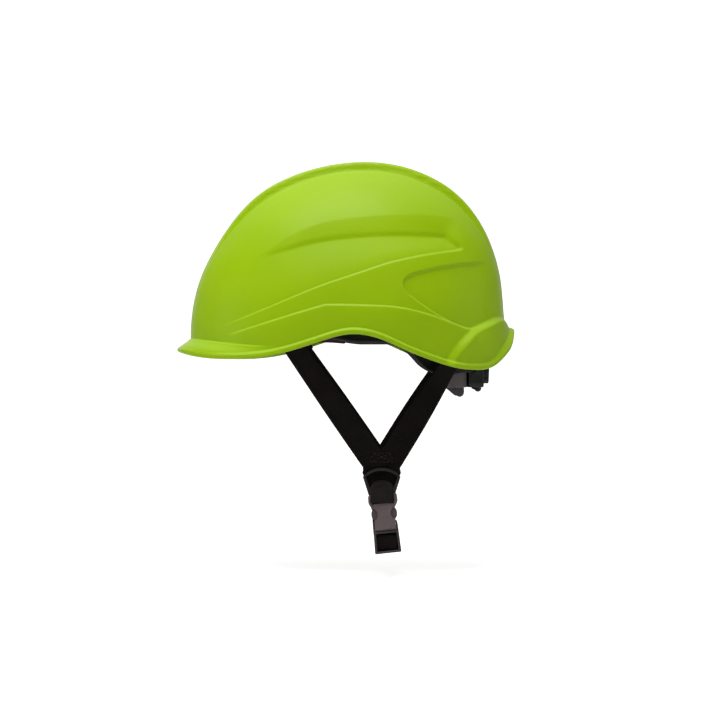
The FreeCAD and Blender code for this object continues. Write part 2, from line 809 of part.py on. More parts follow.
def cover_screws():
    screws = []
    seat = HOUSING_FRONT + SCREW_HEAD_DEPTH
    for y, z in cover_screw_places():
        head = rod(SCREW_HEAD_RADIUS, V(HOUSING_FRONT + 0.1, y, z), V(seat, y, z))
        screws.append(fuse([head, rod(SCREW_RADIUS, V(seat - 0.1, y, z), V(SCREW_TIP, y, z))]))
    return Part.Compound(screws)


PITCH_RADIUS = GEAR_MODULE * PINION_TEETH / 2
TOOTH_PITCH = math.pi * GEAR_MODULE


def rack_tooth():
    """Profile of one rack tooth that points down, as (y, z) from the pitch line."""
    slope = math.tan(PRESSURE_ANGLE)
    half = TOOTH_PITCH / 4 - TOOTH_BACKLASH / 4
    tip = TOOTH_ADDENDUM
    root = TOOTH_DEDENDUM + TOOTH_TIP_GAP
    return [(-half - root * slope, root), (-half + tip * slope, -tip), (half - tip * slope, -tip),
            (half + root * slope, root)]


def rack(side):
    """Toothed bar above the pinion on the left arm's side, below it on the right."""
    flip = 1 if side == LEFT else -1
    pitch_z = RATCHET_Z + flip * PITCH_RADIUS
    inner = flip * RACK_REACH
    outer = -flip * RACK_TAIL
    low_y, high_y = sorted((inner, outer))
    spine_low = pitch_z + flip * TOOTH_DEDENDUM
    spine_high = spine_low + flip * RACK_SPINE
    z_low, z_high = sorted((spine_low, spine_high))
    bar = box((RACK_FRONT, low_y, z_low), (RACK_FRONT + RACK_THICKNESS, high_y, z_high))
    teeth = [bar]
    count = int(RACK_TAIL / TOOTH_PITCH)
    for i in range(-count, count + 1):
        centre = i * TOOTH_PITCH
        if low_y + 1 < centre < high_y - 1:
            points = [V(RACK_FRONT, centre + y, pitch_z + flip * z) for y, z in rack_tooth()]
            teeth.append(prism(points, V(RACK_THICKNESS, 0, 0)))
    return fuse(teeth)


def gap_half_angle(radius):
    """Half the angle of a tooth space at a radius, for a rack tooth that rolls past the pinion."""
    slope = math.tan(PRESSURE_ANGLE)
    half = TOOTH_PITCH / 4 + TOOTH_BACKLASH / 4
    widest = 0
    for i in range(61):
        shift = 3 * (i / 30 - 1)
        for j in range(90):
            angle = math.radians(j / 3)
            y = radius * math.sin(angle + shift / PITCH_RADIUS) - shift
            z = radius * math.cos(angle + shift / PITCH_RADIUS) - PITCH_RADIUS
            if z > -TOOTH_ADDENDUM - 0.25 and abs(y) < half + z * slope:
                widest = max(widest, angle)
    return widest


def ratchet_pinion():
    tip = PITCH_RADIUS + TOOTH_ADDENDUM
    root = PITCH_RADIUS - TOOTH_ADDENDUM - TOOTH_TIP_GAP
    wheel = rod(tip, V(0, 0, 0), V(PINION_LENGTH, 0, 0))
    flank = [(radius, gap_half_angle(radius)) for radius in spread(root, tip, 8)]
    flank.append((tip + 1, flank[-1][1] + 0.05))
    right = [V(-1, r * math.sin(a), r * math.cos(a)) for r, a in flank]
    left = [V(-1, -r * math.sin(a), r * math.cos(a)) for r, a in reversed(flank)]
    gap = prism(right + left, V(6, 0, 0))
    gaps = []
    for i in range(PINION_TEETH):
        turned = gap.copy()
        turned.rotate(V(0, 0, 0), V(1, 0, 0), 360 * i / PINION_TEETH)
        gaps.append(turned)
    shaft = rod(SHAFT_RADIUS, V(0, 0, 0), V(KNOB_BACK - RACK_FRONT - KNOB_DISH_DEPTH, 0, 0))
    pilot = rod(KNOB_SCREW_RADIUS, V(6, 0, 0), V(30, 0, 0))
    gear = wheel.cut(gaps).fuse(shaft).cut(pilot)
    gear.translate(V(RACK_FRONT + 0.1, 0, RATCHET_Z))
    return gear


def pawl_disc():
    """Disc on the shaft with two curved fingers that reach the notches of the housing."""
    hub = rod(PAWL_HUB_RADIUS, on_axis(PAWL_FRONT), on_axis(PAWL_BACK))
    finger = prism([V(PAWL_FRONT, y, z) for y, z in PAWL_FINGER], V(PAWL_BACK - PAWL_FRONT, 0, 0))
    fingers = []
    for turn in (0, 180):
        copy = finger.copy()
        copy.rotate(V(0, 0, 0), V(1, 0, 0), turn)
        copy.translate(on_axis(0))
        fingers.append(copy)
    disc = hub.fuse(fingers)
    return disc.cut(rod(SHAFT_RADIUS, on_axis(PAWL_FRONT - 1), on_axis(PAWL_BACK + 1)))


def ratchet_knob():
    front = KNOB_FRONT - 1
    back = KNOB_BACK + 1
    disc = rod(KNOB_RADIUS, on_axis(KNOB_FRONT), on_axis(KNOB_BACK))
    grips = []
    for i in range(KNOB_GRIPS):
        turn = 2 * math.pi * (i + 0.5) / KNOB_GRIPS
        y = (KNOB_RADIUS + GRIP_OFFSET) * math.cos(turn)
        z = RATCHET_Z + (KNOB_RADIUS + GRIP_OFFSET) * math.sin(turn)
        grips.append(rod(GRIP_RADIUS, V(front, y, z), V(back, y, z)))
    dish = rod(KNOB_DISH_RADIUS, on_axis(KNOB_BACK - KNOB_DISH_DEPTH), on_axis(back))
    hub = rod(KNOB_HUB_RADIUS, on_axis(KNOB_FRONT), on_axis(KNOB_BACK - KNOB_HUB_DEPTH))
    seat = rod(SHAFT_RADIUS, on_axis(front), on_axis(back))
    return disc.cut(grips + [dish]).fuse(hub).cut(seat)


def knob_screw():
    face = KNOB_BACK - 0.5
    head = rod(RIVET_HEAD_RADIUS, on_axis(face), on_axis(face + KNOB_SCREW_HEAD))
    shank = rod(KNOB_SCREW_RADIUS, on_axis(face - KNOB_SCREW_LENGTH), on_axis(face))
    cross = box((face + 0.5, -2, RATCHET_Z - 0.4), (face + 2, 2, RATCHET_Z + 0.4))
    return fuse([head, shank]).cut(cross)


# ---------------------------------------------------------------- chin harness

def chin_strap(front, side):
    top = strap_top(front, side)
    foot = strap_foot(front, side)
    down = foot - top
    down.normalize()
    wall, outward, tangent = anchor_frame(front, side)
    start = top + down * STRAP_START
    centres, widths, normals = [], [], []
    for t in spread(0, 1, 9):
        facing = outward * (1 - t) + V(0, side, 0) * t
        across = down.cross(facing)
        across.normalize()
        normal = across.cross(down)
        centres.append(start + (foot - start) * t)
        widths.append(across)
        normals.append(normal)
    return ribbon(centres, widths, normals, STRAP_WIDTH, STRAP_THICKNESS)


def ring_outline(inset):
    """D ring with an arched top and legs that draw in towards the lower bar."""
    wide = RING_HALF_WIDTH - inset
    foot = RING_FOOT_HALF_WIDTH - inset
    shoulder = RING_WIDE_Z
    floor = RING_BAR_Z - RING_BAR / 2 + inset
    arch = Part.Arc(V(-wide, 0, shoulder), V(0, 0, RING_TOP_Z - inset), V(wide, 0, shoulder)).toShape()
    corners = [V(wide, 0, shoulder), V(foot, 0, floor), V(-foot, 0, floor), V(-wide, 0, shoulder)]
    edges = [arch]
    for start, end in zip(corners, corners[1:]):
        edges.append(Part.makeLine(start, end))
    return Part.Face(Part.Wire(edges))


def divider(side):
    """Flat ring that joins the two straps of a side to the lower webbing."""
    depth = RING_DEPTH
    middle = STRAP_JOIN.x
    outer = ring_outline(0).extrude(V(0, depth, 0))
    hole = ring_outline(RING_BAR).extrude(V(0, depth, 0))
    ring = outer.cut(hole)
    ring.translate(V(middle, -depth / 2, 0))
    reach = RING_BAR_HALF_LENGTH
    bar = box((middle - reach + 1, -depth, RING_BAR_Z - 2), (middle + reach - 1, depth, RING_BAR_Z + 2))
    round_bar = rod(RING_BAR / 2, V(middle - reach, 0, RING_BAR_Z), V(middle + reach, 0, RING_BAR_Z))
    ring = ring.cut(bar).fuse(round_bar)
    ring.translate(V(0, side * HARNESS_Y, 0))
    return ring


def in_buckle(shape):
    """Shape drawn upright about the buckle's mouth, tilted to its place."""
    moved = shape.copy()
    moved.rotate(V(0, 0, 0), ACROSS, BUCKLE_TILT)
    moved.translate(BUCKLE_MOUTH)
    return moved


def buckle_point(x, y, z):
    turn = math.radians(BUCKLE_TILT)
    tilted_x = x * math.cos(turn) + z * math.sin(turn)
    tilted_z = z * math.cos(turn) - x * math.sin(turn)
    return BUCKLE_MOUTH + V(tilted_x, y, tilted_z)


def plate_outline(points, thickness):
    """Outline in x and z, centred on its thickness."""
    return prism([V(x, -thickness / 2, z) for x, z in points], V(0, thickness, 0))


def both_sides(half):
    """Closed outline from its right-hand half, top to bottom."""
    return half + [(-x, z) for x, z in reversed(half)]


def buckle_female():
    side_x = FEMALE_HALF_WIDTH
    half = [(side_x - 0.6, FEMALE_TOP), (side_x, FEMALE_TOP - 3), (side_x + 1, WINDOW_Z), (side_x, 8),
            (side_x, 0)]
    body = plate_outline(both_sides(half), BUCKLE_THICKNESS)
    arm = EAR_HALF_WIDTH - EAR_ARM
    ear = [(EAR_HALF_WIDTH, EAR_TOP), (EAR_HALF_WIDTH, FEMALE_TOP + 1), (side_x - 0.6, FEMALE_TOP - 3),
           (side_x - 0.8, FEMALE_TOP - 0.4), (arm, FEMALE_TOP), (arm, EAR_TOP - 0.6)]
    bar_end = EAR_HALF_WIDTH - 1
    bar = rod(EYE_BAR_RADIUS, V(-bar_end, 0, EYE_BAR_Z), V(bar_end, 0, EYE_BAR_Z))
    cavity = box((-CAVITY_HALF_WIDTH, -CAVITY_HALF_DEPTH, -1), (CAVITY_HALF_WIDTH, CAVITY_HALF_DEPTH, CAVITY_TOP))
    ears = []
    windows = []
    for side in (-1, 1):
        ears.append(plate_outline([(side * x, z) for x, z in ear], BUCKLE_THICKNESS - EAR_STEP))
        ellipse = Part.Ellipse(V(0, 0, 0), WINDOW_HALF_HEIGHT, WINDOW_HALF_WIDTH)
        window = Part.Face(Part.Wire(ellipse.toShape())).extrude(V(0, 0, 2 * BUCKLE_THICKNESS))
        window.rotate(V(0, 0, 0), ACROSS, 90)
        window.rotate(V(0, 0, 0), UP, 90)
        window.translate(V(side * (side_x + 0.6), -BUCKLE_THICKNESS, WINDOW_Z))
        windows.append(window)
    return in_buckle(body.fuse(ears + [bar]).cut([cavity] + windows))


def buckle_male():
    side_x = MALE_HALF_WIDTH
    foot = MALE_TOP - 0.5
    half = [(side_x - 0.4, MALE_TOP), (side_x, MALE_BOTTOM + 1), (side_x - 1, MALE_BOTTOM)]
    frame = plate_outline(both_sides(half), MALE_THICKNESS)
    frame = frame.cut(box((-MALE_WINDOW_HALF_WIDTH, -10, MALE_WINDOW_BOTTOM),
                          (MALE_WINDOW_HALF_WIDTH, 10, MALE_WINDOW_TOP)))
    shoulder = [(SHOULDER_INNER, foot), (side_x - 0.4, foot), (SHOULDER_OUTER, SHOULDER_TOP),
                (SHOULDER_INNER, SHOULDER_TOP)]
    shoulders = []
    for side in (-1, 1):
        shoulders.append(plate_outline([(side * x, z) for x, z in shoulder], MALE_THICKNESS))
    bar_y = MIDDLE_BAR_SETBACK
    middle = rod(MIDDLE_BAR_RADIUS, V(-9, bar_y, MIDDLE_BAR_Z), V(9, bar_y, MIDDLE_BAR_Z))
    guide = box((-GUIDE_HALF_WIDTH, -GUIDE_HALF_DEPTH, foot), (GUIDE_HALF_WIDTH, GUIDE_HALF_DEPTH, GUIDE_TOP))
    return in_buckle(fuse([frame, middle, guide] + shoulders))


def buckle_latch(side):
    """Springy arm of the male part, with the finger button at its head."""
    depth = LATCH_HALF_DEPTH
    half = LATCH_HALF_WIDTH
    root = rod(half, V(LATCH_X, -depth, LATCH_ROOT_Z), V(LATCH_X, depth, LATCH_ROOT_Z))
    points = [(LATCH_X - half, LATCH_ROOT_Z), (LATCH_X + half, LATCH_ROOT_Z), (LATCH_X + 0.9, 9.6),
              (8.6, 9.8), (9.9, 11.4), (10.1, 13), (9.6, 14.8), (8.2, 16), (LATCH_X + 0.4, 16.9),
              (LATCH_X - 0.6, 16.4), (LATCH_X - half, 10)]
    arm = prism([V(x, -depth, z) for x, z in points], V(0, 2 * depth, 0))
    latch = fuse([arm, root])
    if side < 0:
        latch = latch.mirror(V(0, 0, 0), V(1, 0, 0))
    return in_buckle(latch)


def buckle_loop():
    """Sewn webbing loop between the divider's bar and the eye of the female part."""
    eye = buckle_point(0, 0, EYE_BAR_Z)
    middle = (RING_BAR_Z + eye.z) / 2
    half = (RING_BAR_Z - eye.z) / 2
    inner = LOOP_RADIUS
    width = BUCKLE_WEB_WIDTH / 2
    solids = []
    for radius in (inner, inner + WEB_THICKNESS):
        block = box((-width, -radius, -half), (width, radius, half))
        caps = [rod(radius, V(-width, 0, z), V(width, 0, z)) for z in (-half, half)]
        solids.append(block.fuse(caps))
    loop = solids[1].cut(solids[0])
    front = -inner - WEB_THICKNESS
    face = front - 0.01
    back = front + WEB_THICKNESS
    tab = box((-width, face, -half - LOOP_TAB_FOOT), (width, back, LOOP_TAB_TOP))
    tip = rod(width, V(0, face, LOOP_TAB_TOP), V(0, back, LOOP_TAB_TOP))
    loop = loop.fuse([tab, tip]).removeSplitter()
    loop.translate(V((eye.x + STRAP_JOIN.x) / 2, -HARNESS_Y, middle))
    return loop


def arc_points(centre_y, centre_z, radius, start, end, count):
    points = []
    for turn in spread(math.radians(start), math.radians(end), count):
        points.append((centre_y + radius * math.cos(turn), centre_z + radius * math.sin(turn)))
    return points


def chin_web():
    """Webbing from the window of the male part, under the chin, to the divider of the right side."""
    middle_bar = buckle_point(0, 0, MIDDLE_BAR_Z)
    front_y = -HARNESS_Y - CHIN_WEB_FRONT
    turn_radius = CHIN_WEB_TURN
    floor_z = middle_bar.z - CHIN_WEB_DROP
    track = [(front_y, middle_bar.z + 3.8), (front_y, middle_bar.z + 1)]
    track += arc_points(front_y + turn_radius, floor_z + turn_radius, turn_radius, 180, 270, 5)
    for t in spread(0.05, 0.98, 12):
        y = front_y + turn_radius + t * (2 * HARNESS_Y - turn_radius - 1)
        sag = CHIN_WEB_SAG * math.sin(math.pi * min(1, 2 * t))
        track.append((y, floor_z - sag + WEB_RISE * t ** 4))
    fold = RING_BAR / 2 + BAR_CLEARANCE + WEB_THICKNESS / 2
    track += arc_points(HARNESS_Y, RING_BAR_Z, fold, 180, 0, 7)
    track += [(HARNESS_Y + fold, RING_BAR_Z - 8), (HARNESS_Y + fold, RING_BAR_Z - CHIN_WEB_TAIL)]
    sides = []
    for layer in (-WEB_THICKNESS / 2, WEB_THICKNESS / 2):
        rail = []
        for i, (y, z) in enumerate(track):
            before = track[max(i - 1, 0)]
            after = track[min(i + 1, len(track) - 1)]
            along = V(0, after[0] - before[0], after[1] - before[1])
            along.normalize()
            rail.append(V(0, y - along.z * layer, z + along.y * layer))
        sides.append(rail)
    near, far = sides
    wire = Part.Wire([spline_edge(near), Part.makeLine(near[-1], far[-1]), spline_edge(far),
                      Part.makeLine(far[0], near[0])])
    web = Part.Face(wire).extrude(V(BUCKLE_WEB_WIDTH, 0, 0))
    lean = (STRAP_JOIN.x - middle_bar.x) / (2 * HARNESS_Y)
    shift = middle_bar.x + lean * HARNESS_Y - BUCKLE_WEB_WIDTH / 2
    slant = FreeCAD.Matrix(1, lean, 0, shift,
                           0, 1, 0, 0,
                           0, 0, 1, 0,
                           0, 0, 0, 1)
    return web.transformGeometry(slant)


# ---------------------------------------------------------------- sub-parts

NODES = {
    "shell": shell,
    "suspension_keys": suspension_keys,
    "rear_strap_keys": rear_strap_keys,
    "headband": headband,
    "brow_pad": brow_pad,
    "crown_strap_middle": lambda: crown_strap(90, 0),
    "crown_strap_left": lambda: crown_strap(STRAP_ANGLE, 1),
    "crown_strap_right": lambda: crown_strap(-STRAP_ANGLE, 2),
    "crown_pad": crown_pad,
    "nape_pivot_pins": pivot_pins,
    "nape_arm_left": lambda: nape_arm(LEFT),
    "nape_arm_right": lambda: nape_arm(RIGHT),
    "nape_cradle": nape_cradle,
    "nape_pad": nape_pad,
    "ratchet_housing": ratchet_housing,
    "ratchet_cover": ratchet_cover,
    "ratchet_cover_screws": cover_screws,
    "rack_left": lambda: rack(LEFT),
    "rack_right": lambda: rack(RIGHT),
    "ratchet_pinion": ratchet_pinion,
    "pawl_disc": pawl_disc,
    "ratchet_knob": ratchet_knob,
    "knob_screw": knob_screw,
    "strap_anchor_tabs": lambda: Part.Compound(at_anchors(anchor_tab())),
    "strap_anchor_rivets": lambda: Part.Compound(at_anchors(anchor_rivet())),
    "chin_strap_front_left": lambda: chin_strap(True, LEFT),
    "chin_strap_rear_left": lambda: chin_strap(False, LEFT),
    "chin_strap_front_right": lambda: chin_strap(True, RIGHT),
    "chin_strap_rear_right": lambda: chin_strap(False, RIGHT),
    "strap_divider_left": lambda: divider(LEFT),
    "strap_divider_right": lambda: divider(RIGHT),
    "buckle_loop": buckle_loop,
    "buckle_female": buckle_female,
    "buckle_male": buckle_male,
    "buckle_latch_front": lambda: buckle_latch(-1),
    "buckle_latch_rear": lambda: buckle_latch(1),
    "chin_web": chin_web,
}

os.makedirs("parts", exist_ok=True)
for name, make in NODES.items():
    make().exportStep("parts/" + name + ".step")
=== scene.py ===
import json
import math

import bmesh
import bpy
import numpy as np
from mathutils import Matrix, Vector


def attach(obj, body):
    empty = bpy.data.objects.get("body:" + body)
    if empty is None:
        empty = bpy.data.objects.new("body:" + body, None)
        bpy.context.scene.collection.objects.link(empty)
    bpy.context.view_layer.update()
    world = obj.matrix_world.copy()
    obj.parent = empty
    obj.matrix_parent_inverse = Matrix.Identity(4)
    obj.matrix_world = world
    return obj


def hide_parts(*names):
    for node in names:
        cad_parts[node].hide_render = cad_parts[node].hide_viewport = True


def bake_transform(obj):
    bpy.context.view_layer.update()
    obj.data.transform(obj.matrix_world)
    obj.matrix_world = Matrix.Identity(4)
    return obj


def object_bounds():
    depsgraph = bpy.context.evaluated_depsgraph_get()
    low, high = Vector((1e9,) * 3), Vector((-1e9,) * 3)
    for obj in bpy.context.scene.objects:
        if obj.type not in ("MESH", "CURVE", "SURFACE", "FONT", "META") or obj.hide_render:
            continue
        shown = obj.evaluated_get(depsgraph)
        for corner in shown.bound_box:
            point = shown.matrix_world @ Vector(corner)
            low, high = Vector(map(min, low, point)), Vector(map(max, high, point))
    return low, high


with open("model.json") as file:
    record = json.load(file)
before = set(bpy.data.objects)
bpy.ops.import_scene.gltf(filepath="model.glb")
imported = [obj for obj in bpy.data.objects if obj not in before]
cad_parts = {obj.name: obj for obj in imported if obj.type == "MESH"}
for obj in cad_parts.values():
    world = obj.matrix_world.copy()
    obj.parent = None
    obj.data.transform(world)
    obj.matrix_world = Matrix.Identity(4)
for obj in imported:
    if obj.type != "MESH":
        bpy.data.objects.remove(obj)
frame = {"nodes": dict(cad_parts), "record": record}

# Climbing helmet. Shapes are drawn in millimetres and placed in metres.
MM = 0.001
CAD_BOX = [list(corner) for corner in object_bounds()]
LEFT = -1
RIGHT = 1
SIDES = {LEFT: "left", RIGHT: "right"}

# ---------------------------------------------------------------- shell outlines, in mm

CENTRE = np.array([2.0, 0.0, -10.0])
# Side view: angle from the centre (0 rear, 90 crown, 180 brow) and radius.
OUTLINE = [(-22, 128), (0, 132.5), (15, 134.5), (30, 145), (45, 154.5), (60, 159), (75, 159.5),
           (90, 156.5), (105, 153), (120, 149.5), (135, 144.5), (150, 140.3), (165, 135.3),
           (180, 131), (202, 128)]
HALF_WIDTH = 106
POWER = 2.3
WALL = 3.0
# Lower edge in the side view, brow to rear.
RIM = [(-142, -4.6), (-128, -8.4), (-96, -11.6), (-57, -8.3), (-36.5, -2.9), (-16.5, 3.6), (2, 8),
       (12, 8), (30.5, 3.4), (50, -5.3), (69, -12.6), (89, -18.6), (104, -20.2), (118.5, -18.4),
       (131.5, -9.2), (137.2, -1.7), (139.6, 6), (142, 15)]
# Panel lines in the side view.
WING_CREST = [(-66, 71.8), (-46, 86), (-23.2, 96), (18, 102.6), (50, 104.4), (82, 103.4),
              (92, 100.6), (99, 92), (100.5, 84.5), (96, 78.2)]
WING_TOP = [(-100, 56), (-64, 73.6), (-49.6, 78.9), (-30, 85.2), (6, 90.6), (41.5, 92.3), (78, 91.6)]
WING_TIP = [(78, 91.6), (83.5, 90.8), (87.2, 87.6), (91, 83.6), (94.9, 80.2), (96, 78.2), (94.6, 76.3),
            (91.7, 75.3)]
WING_LOW = [(91.7, 75.3), (70, 72), (50.5, 68.1), (34, 64), (18, 58.6), (-21.3, 45.2), (-48, 34.3),
            (-78.4, 21.9), (-102.5, 12.5)]
BAND_FRONT = [(-94, 7.6), (-68, 15.6), (-42, 23.6), (-16.3, 31.2)]
BAND_REAR = [(-16.3, 31.2), (20, 30.6), (43, 29), (97.4, 12.3)]
NOSE_TOP = [(150, 69), (115.2, 67.1), (77.9, 62.5), (57, 57.6)]
NOSE_TIP = [(57, 57.6), (50, 54.6), (46.4, 50.5), (47.2, 44.4), (50.4, 38.9)]
NOSE_LOW = [(50.4, 38.9), (68.5, 26.3), (94.2, 13.3), (104, 11.5), (116, 17), (127, 20), (150, 19)]
BUMPER_LINE = [(78, -24), (82, -16), (86, -9), (94, 2), (101.3, 9), (116.4, 16.8), (126, 20),
               (131.5, 18), (135, 14), (142, 13)]
BEVEL_DEPTH = 2.3
LIP_REACH = 9.6
LIP_STEP = 0.8
RIB_HEIGHT = 4.6
RIB_EDGE = 1.9
BUMPER_DEPTH = 5.2
BUMPER_TAPER = 2.0
WING_STEP = 1.9
NOSE_DEPTH = 1.9
BAND_DEPTH = 1.5
FLANGE = 2.5
TAIL_FLANGE = 1.6
LIP_LINE = [(-150, 4.2), (-130, 3.9), (-112.9, 2.2), (-74.4, -1.9), (-47.7, -2.9)]


# ---------------------------------------------------------------- curves and small numerics

def smooth(value, start, end):
    t = np.clip((value - start) / (end - start), 0, 1)
    return t * t * (3 - 2 * t)


def ramp(value, start, end):
    return np.clip((value - start) / (end - start), 0, 1)


def unit(vectors):
    return vectors / np.linalg.norm(vectors, axis=-1, keepdims=True)


def direction(plan_angle):
    """Level unit vector at a plan angle in degrees."""
    return np.array([math.cos(math.radians(plan_angle)), math.sin(math.radians(plan_angle)), 0])


def repeat(vector, count):
    return np.tile(np.array(vector, float), (count, 1))


def stack(*parts):
    """Points from their coordinates, each of which is one number or one for every point."""
    return np.stack(np.broadcast_arrays(*parts), axis=1)


def placed(origin, out, beside, up):
    """Function that places points drawn along three directions."""
    return lambda p: origin + p[:, 0:1] * out + p[:, 1:2] * beside + p[:, 2:3] * up


def disc(u, v):
    """Unit disc from a square of -1..1."""
    return u * np.sqrt(1 - v * v / 2), v * np.sqrt(1 - u * u / 2)


def cubic(knots, values, at):
    """Natural cubic spline through the values at the knots, at many places."""
    knots = np.asarray(knots, float)
    values = np.asarray(values, float)
    gaps = np.diff(knots)
    count = len(knots)
    matrix = np.eye(count)
    right = np.zeros_like(values)
    slopes = np.diff(values, axis=0) / gaps.reshape(-1, *[1] * (values.ndim - 1))
    for i in range(1, count - 1):
        matrix[i, i - 1] = gaps[i - 1]
        matrix[i, i] = 2 * (gaps[i - 1] + gaps[i])
        matrix[i, i + 1] = gaps[i]
        right[i] = 6 * (slopes[i] - slopes[i - 1])
    bends = np.linalg.solve(matrix, right)
    at = np.asarray(at, float)
    span = np.clip(np.searchsorted(knots, at) - 1, 0, count - 2)
    gap = gaps[span]
    a = (knots[span + 1] - at) / gap
    b = 1 - a
    if values.ndim > 1:
        a, b, gap = a[..., None], b[..., None], gap[..., None]
    result = a * values[span] + b * values[span + 1]
    return result + ((a ** 3 - a) * bends[span] + (b ** 3 - b) * bends[span + 1]) * gap ** 2 / 6


def lengths_along(points):
    steps = np.linalg.norm(np.diff(points, axis=0), axis=1)
    return np.concatenate([[0], np.cumsum(steps)])


def curve(points, count):
    """Smooth curve through the points, as evenly spaced samples."""
    points = np.asarray(points, float)
    along = lengths_along(points)
    dense = cubic(along, points, np.linspace(0, along[-1], count * 6))
    along = lengths_along(dense)
    even = np.linspace(0, along[-1], count)
    return stack(*[np.interp(even, along, values) for values in dense.T])


def line_distance(places, line):
    """Distance to a line of points, and the side: positive on the left of its direction."""
    best = np.full(len(places), 1e9)
    side = np.zeros(len(places))
    for start, end in zip(line, line[1:]):
        along = end - start
        t = np.clip(((places - start) @ along) / (along @ along + 1e-12), 0, 1)
        offset = places - start - t[:, None] * along
        distance = np.hypot(offset[:, 0], offset[:, 1])
        cross = along[0] * (places[:, 1] - start[1]) - along[1] * (places[:, 0] - start[0])
        nearer = distance < best
        best = np.where(nearer, distance, best)
        side = np.where(nearer, np.sign(cross), side)
    return best, side


def inside_outline(places, outline):
    """True inside a closed outline, by counting crossings."""
    inside = np.zeros(len(places), bool)
    x, z = places[:, 0], places[:, 1]
    for (x0, z0), (x1, z1) in zip(outline, np.roll(outline, -1, axis=0)):
        crosses = (z0 > z) != (z1 > z)
        if z1 != z0:
            inside ^= crosses & (x < (x1 - x0) * (z - z0) / (z1 - z0) + x0)
    return inside


RIM_CURVE = curve(RIM, 400)


def flange_depth(x):
    """Outward reach of the bead on the lower edge: thin at the brow, deep at the tail."""
    return FLANGE * (1 - 0.55 * smooth(-x, 70, 120)) + TAIL_FLANGE * smooth(x, 116, 131)


def rim_height(x):
    """Height of the lower edge below a point of the surface, before the bead is added."""
    reach = x + flange_depth(x) * smooth(x, 105, 128)
    return np.interp(reach, RIM_CURVE[:, 0], RIM_CURVE[:, 1])


# ---------------------------------------------------------------- meshes

BEVEL_ANGLE = 30


def add_object(name, data):
    piece = bpy.data.objects.new(name, data)
    bpy.context.scene.collection.objects.link(piece)
    return piece


def get_points(mesh):
    """Vertex positions in metres."""
    points = np.zeros(len(mesh.vertices) * 3)
    mesh.vertices.foreach_get("co", points)
    return points.reshape(-1, 3)


def set_points(mesh, points):
    mesh.vertices.foreach_set("co", points.ravel())


def shade_smooth(mesh):
    mesh.polygons.foreach_set("use_smooth", [True] * len(mesh.polygons))


def make_mesh(name, points, faces, uvs=None):
    """Mesh object from points in millimetres and faces as rows of point numbers."""
    mesh = bpy.data.meshes.new(name)
    scaled = np.asarray(points, float) * MM
    mesh.from_pydata([tuple(p) for p in scaled], [], [tuple(f) for f in faces])
    mesh.validate()
    if uvs is not None:
        layer = mesh.uv_layers.new(name="cloth")
        loops = np.zeros(len(mesh.loops), np.int32)
        mesh.loops.foreach_get("vertex_index", loops)
        layer.data.foreach_set("uv", (np.asarray(uvs, np.float32) * MM)[loops].ravel())
    shade_smooth(mesh)
    clean_mesh(mesh)
    return add_object(name, mesh)


def clean_mesh(mesh, weld=None):
    """Turns all faces outwards, after welding points nearer than the weld distance in metres."""
    bm = bmesh.new()
    bm.from_mesh(mesh)
    if weld:
        bmesh.ops.remove_doubles(bm, verts=bm.verts, dist=weld)
    bmesh.ops.recalc_face_normals(bm, faces=bm.faces)
    bm.to_mesh(mesh)
    bm.free()


def grid_faces(rows, columns, start=0, closed=False):
    """Quads of a grid of points; closed joins the last column to the first."""
    r = np.arange(rows - 1)[:, None]
    c = np.arange(columns if closed else columns - 1)[None, :]
    after = (c + 1) % columns
    row, next_row = r * columns, (r + 1) * columns
    quads = np.stack([row + c, row + after, next_row + after, next_row + c], axis=-1)
    return (quads.reshape(-1, 4) + start).tolist()


def strip_faces(first, second):
    """Quads between two closed rings of point numbers."""
    return np.stack([first, np.roll(first, -1), np.roll(second, -1), second], axis=1).tolist()


def border_ring(columns, rows):
    """Point numbers round the border of a grid, in order."""
    grid = np.arange(columns * rows).reshape(columns, rows)
    return np.concatenate([grid[:-1, 0], grid[-1, :-1], grid[:0:-1, -1], grid[0, :0:-1]])


def apply_modifiers(piece):
    bpy.context.view_layer.update()
    graph = bpy.context.evaluated_depsgraph_get()
    mesh = bpy.data.meshes.new_from_object(piece.evaluated_get(graph))
    piece.modifiers.clear()
    piece.data = mesh


def bevel(piece, width, segments=2):
    """Rounded edges with flat-looking faces."""
    modifier = piece.modifiers.new("bevel", "BEVEL")
    modifier.width = width * MM
    modifier.segments = segments
    modifier.limit_method = "ANGLE"
    modifier.angle_limit = math.radians(BEVEL_ANGLE)
    modifier.miter_outer = "MITER_ARC"
    normals = piece.modifiers.new("normals", "WEIGHTED_NORMAL")
    normals.weight = 80
    normals.keep_sharp = False


def join(name, pieces):
    """One object from several."""
    bm = bmesh.new()
    for piece in pieces:
        bm.from_mesh(piece.data)
        mesh = piece.data
        bpy.data.objects.remove(piece)
        bpy.data.meshes.remove(mesh)
    mesh = bpy.data.meshes.new(name)
    bm.to_mesh(mesh)
    bm.free()
    return add_object(name, mesh)


def block(low, high, frame_of):
    """Box between two corners, moved by a function of its points."""
    corners = [(x, y, z) for z in (low[2], high[2]) for y in (low[1], high[1]) for x in (low[0], high[0])]
    points = frame_of(np.array(corners, float))
    faces = [(0, 1, 3, 2), (4, 5, 7, 6), (0, 1, 5, 4), (2, 3, 7, 6), (0, 2, 6, 4), (1, 3, 7, 5)]
    return make_mesh("block", points, faces)


def turned(profile, frame_of, count=28):
    """Solid of revolution about the local x axis from (x, radius) points."""
    angles = np.linspace(0, 2 * math.pi, count, endpoint=False)
    rows = [[(x, r * math.cos(a), r * math.sin(a)) for a in angles] for x, r in profile]
    points = np.array(rows).reshape(-1, 3)
    faces = grid_faces(len(profile), count, closed=True)
    faces += [tuple(range(count)), tuple(range((len(profile) - 1) * count, len(profile) * count))]
    return make_mesh("turned", frame_of(points), faces)


SELVEDGE = 0.16


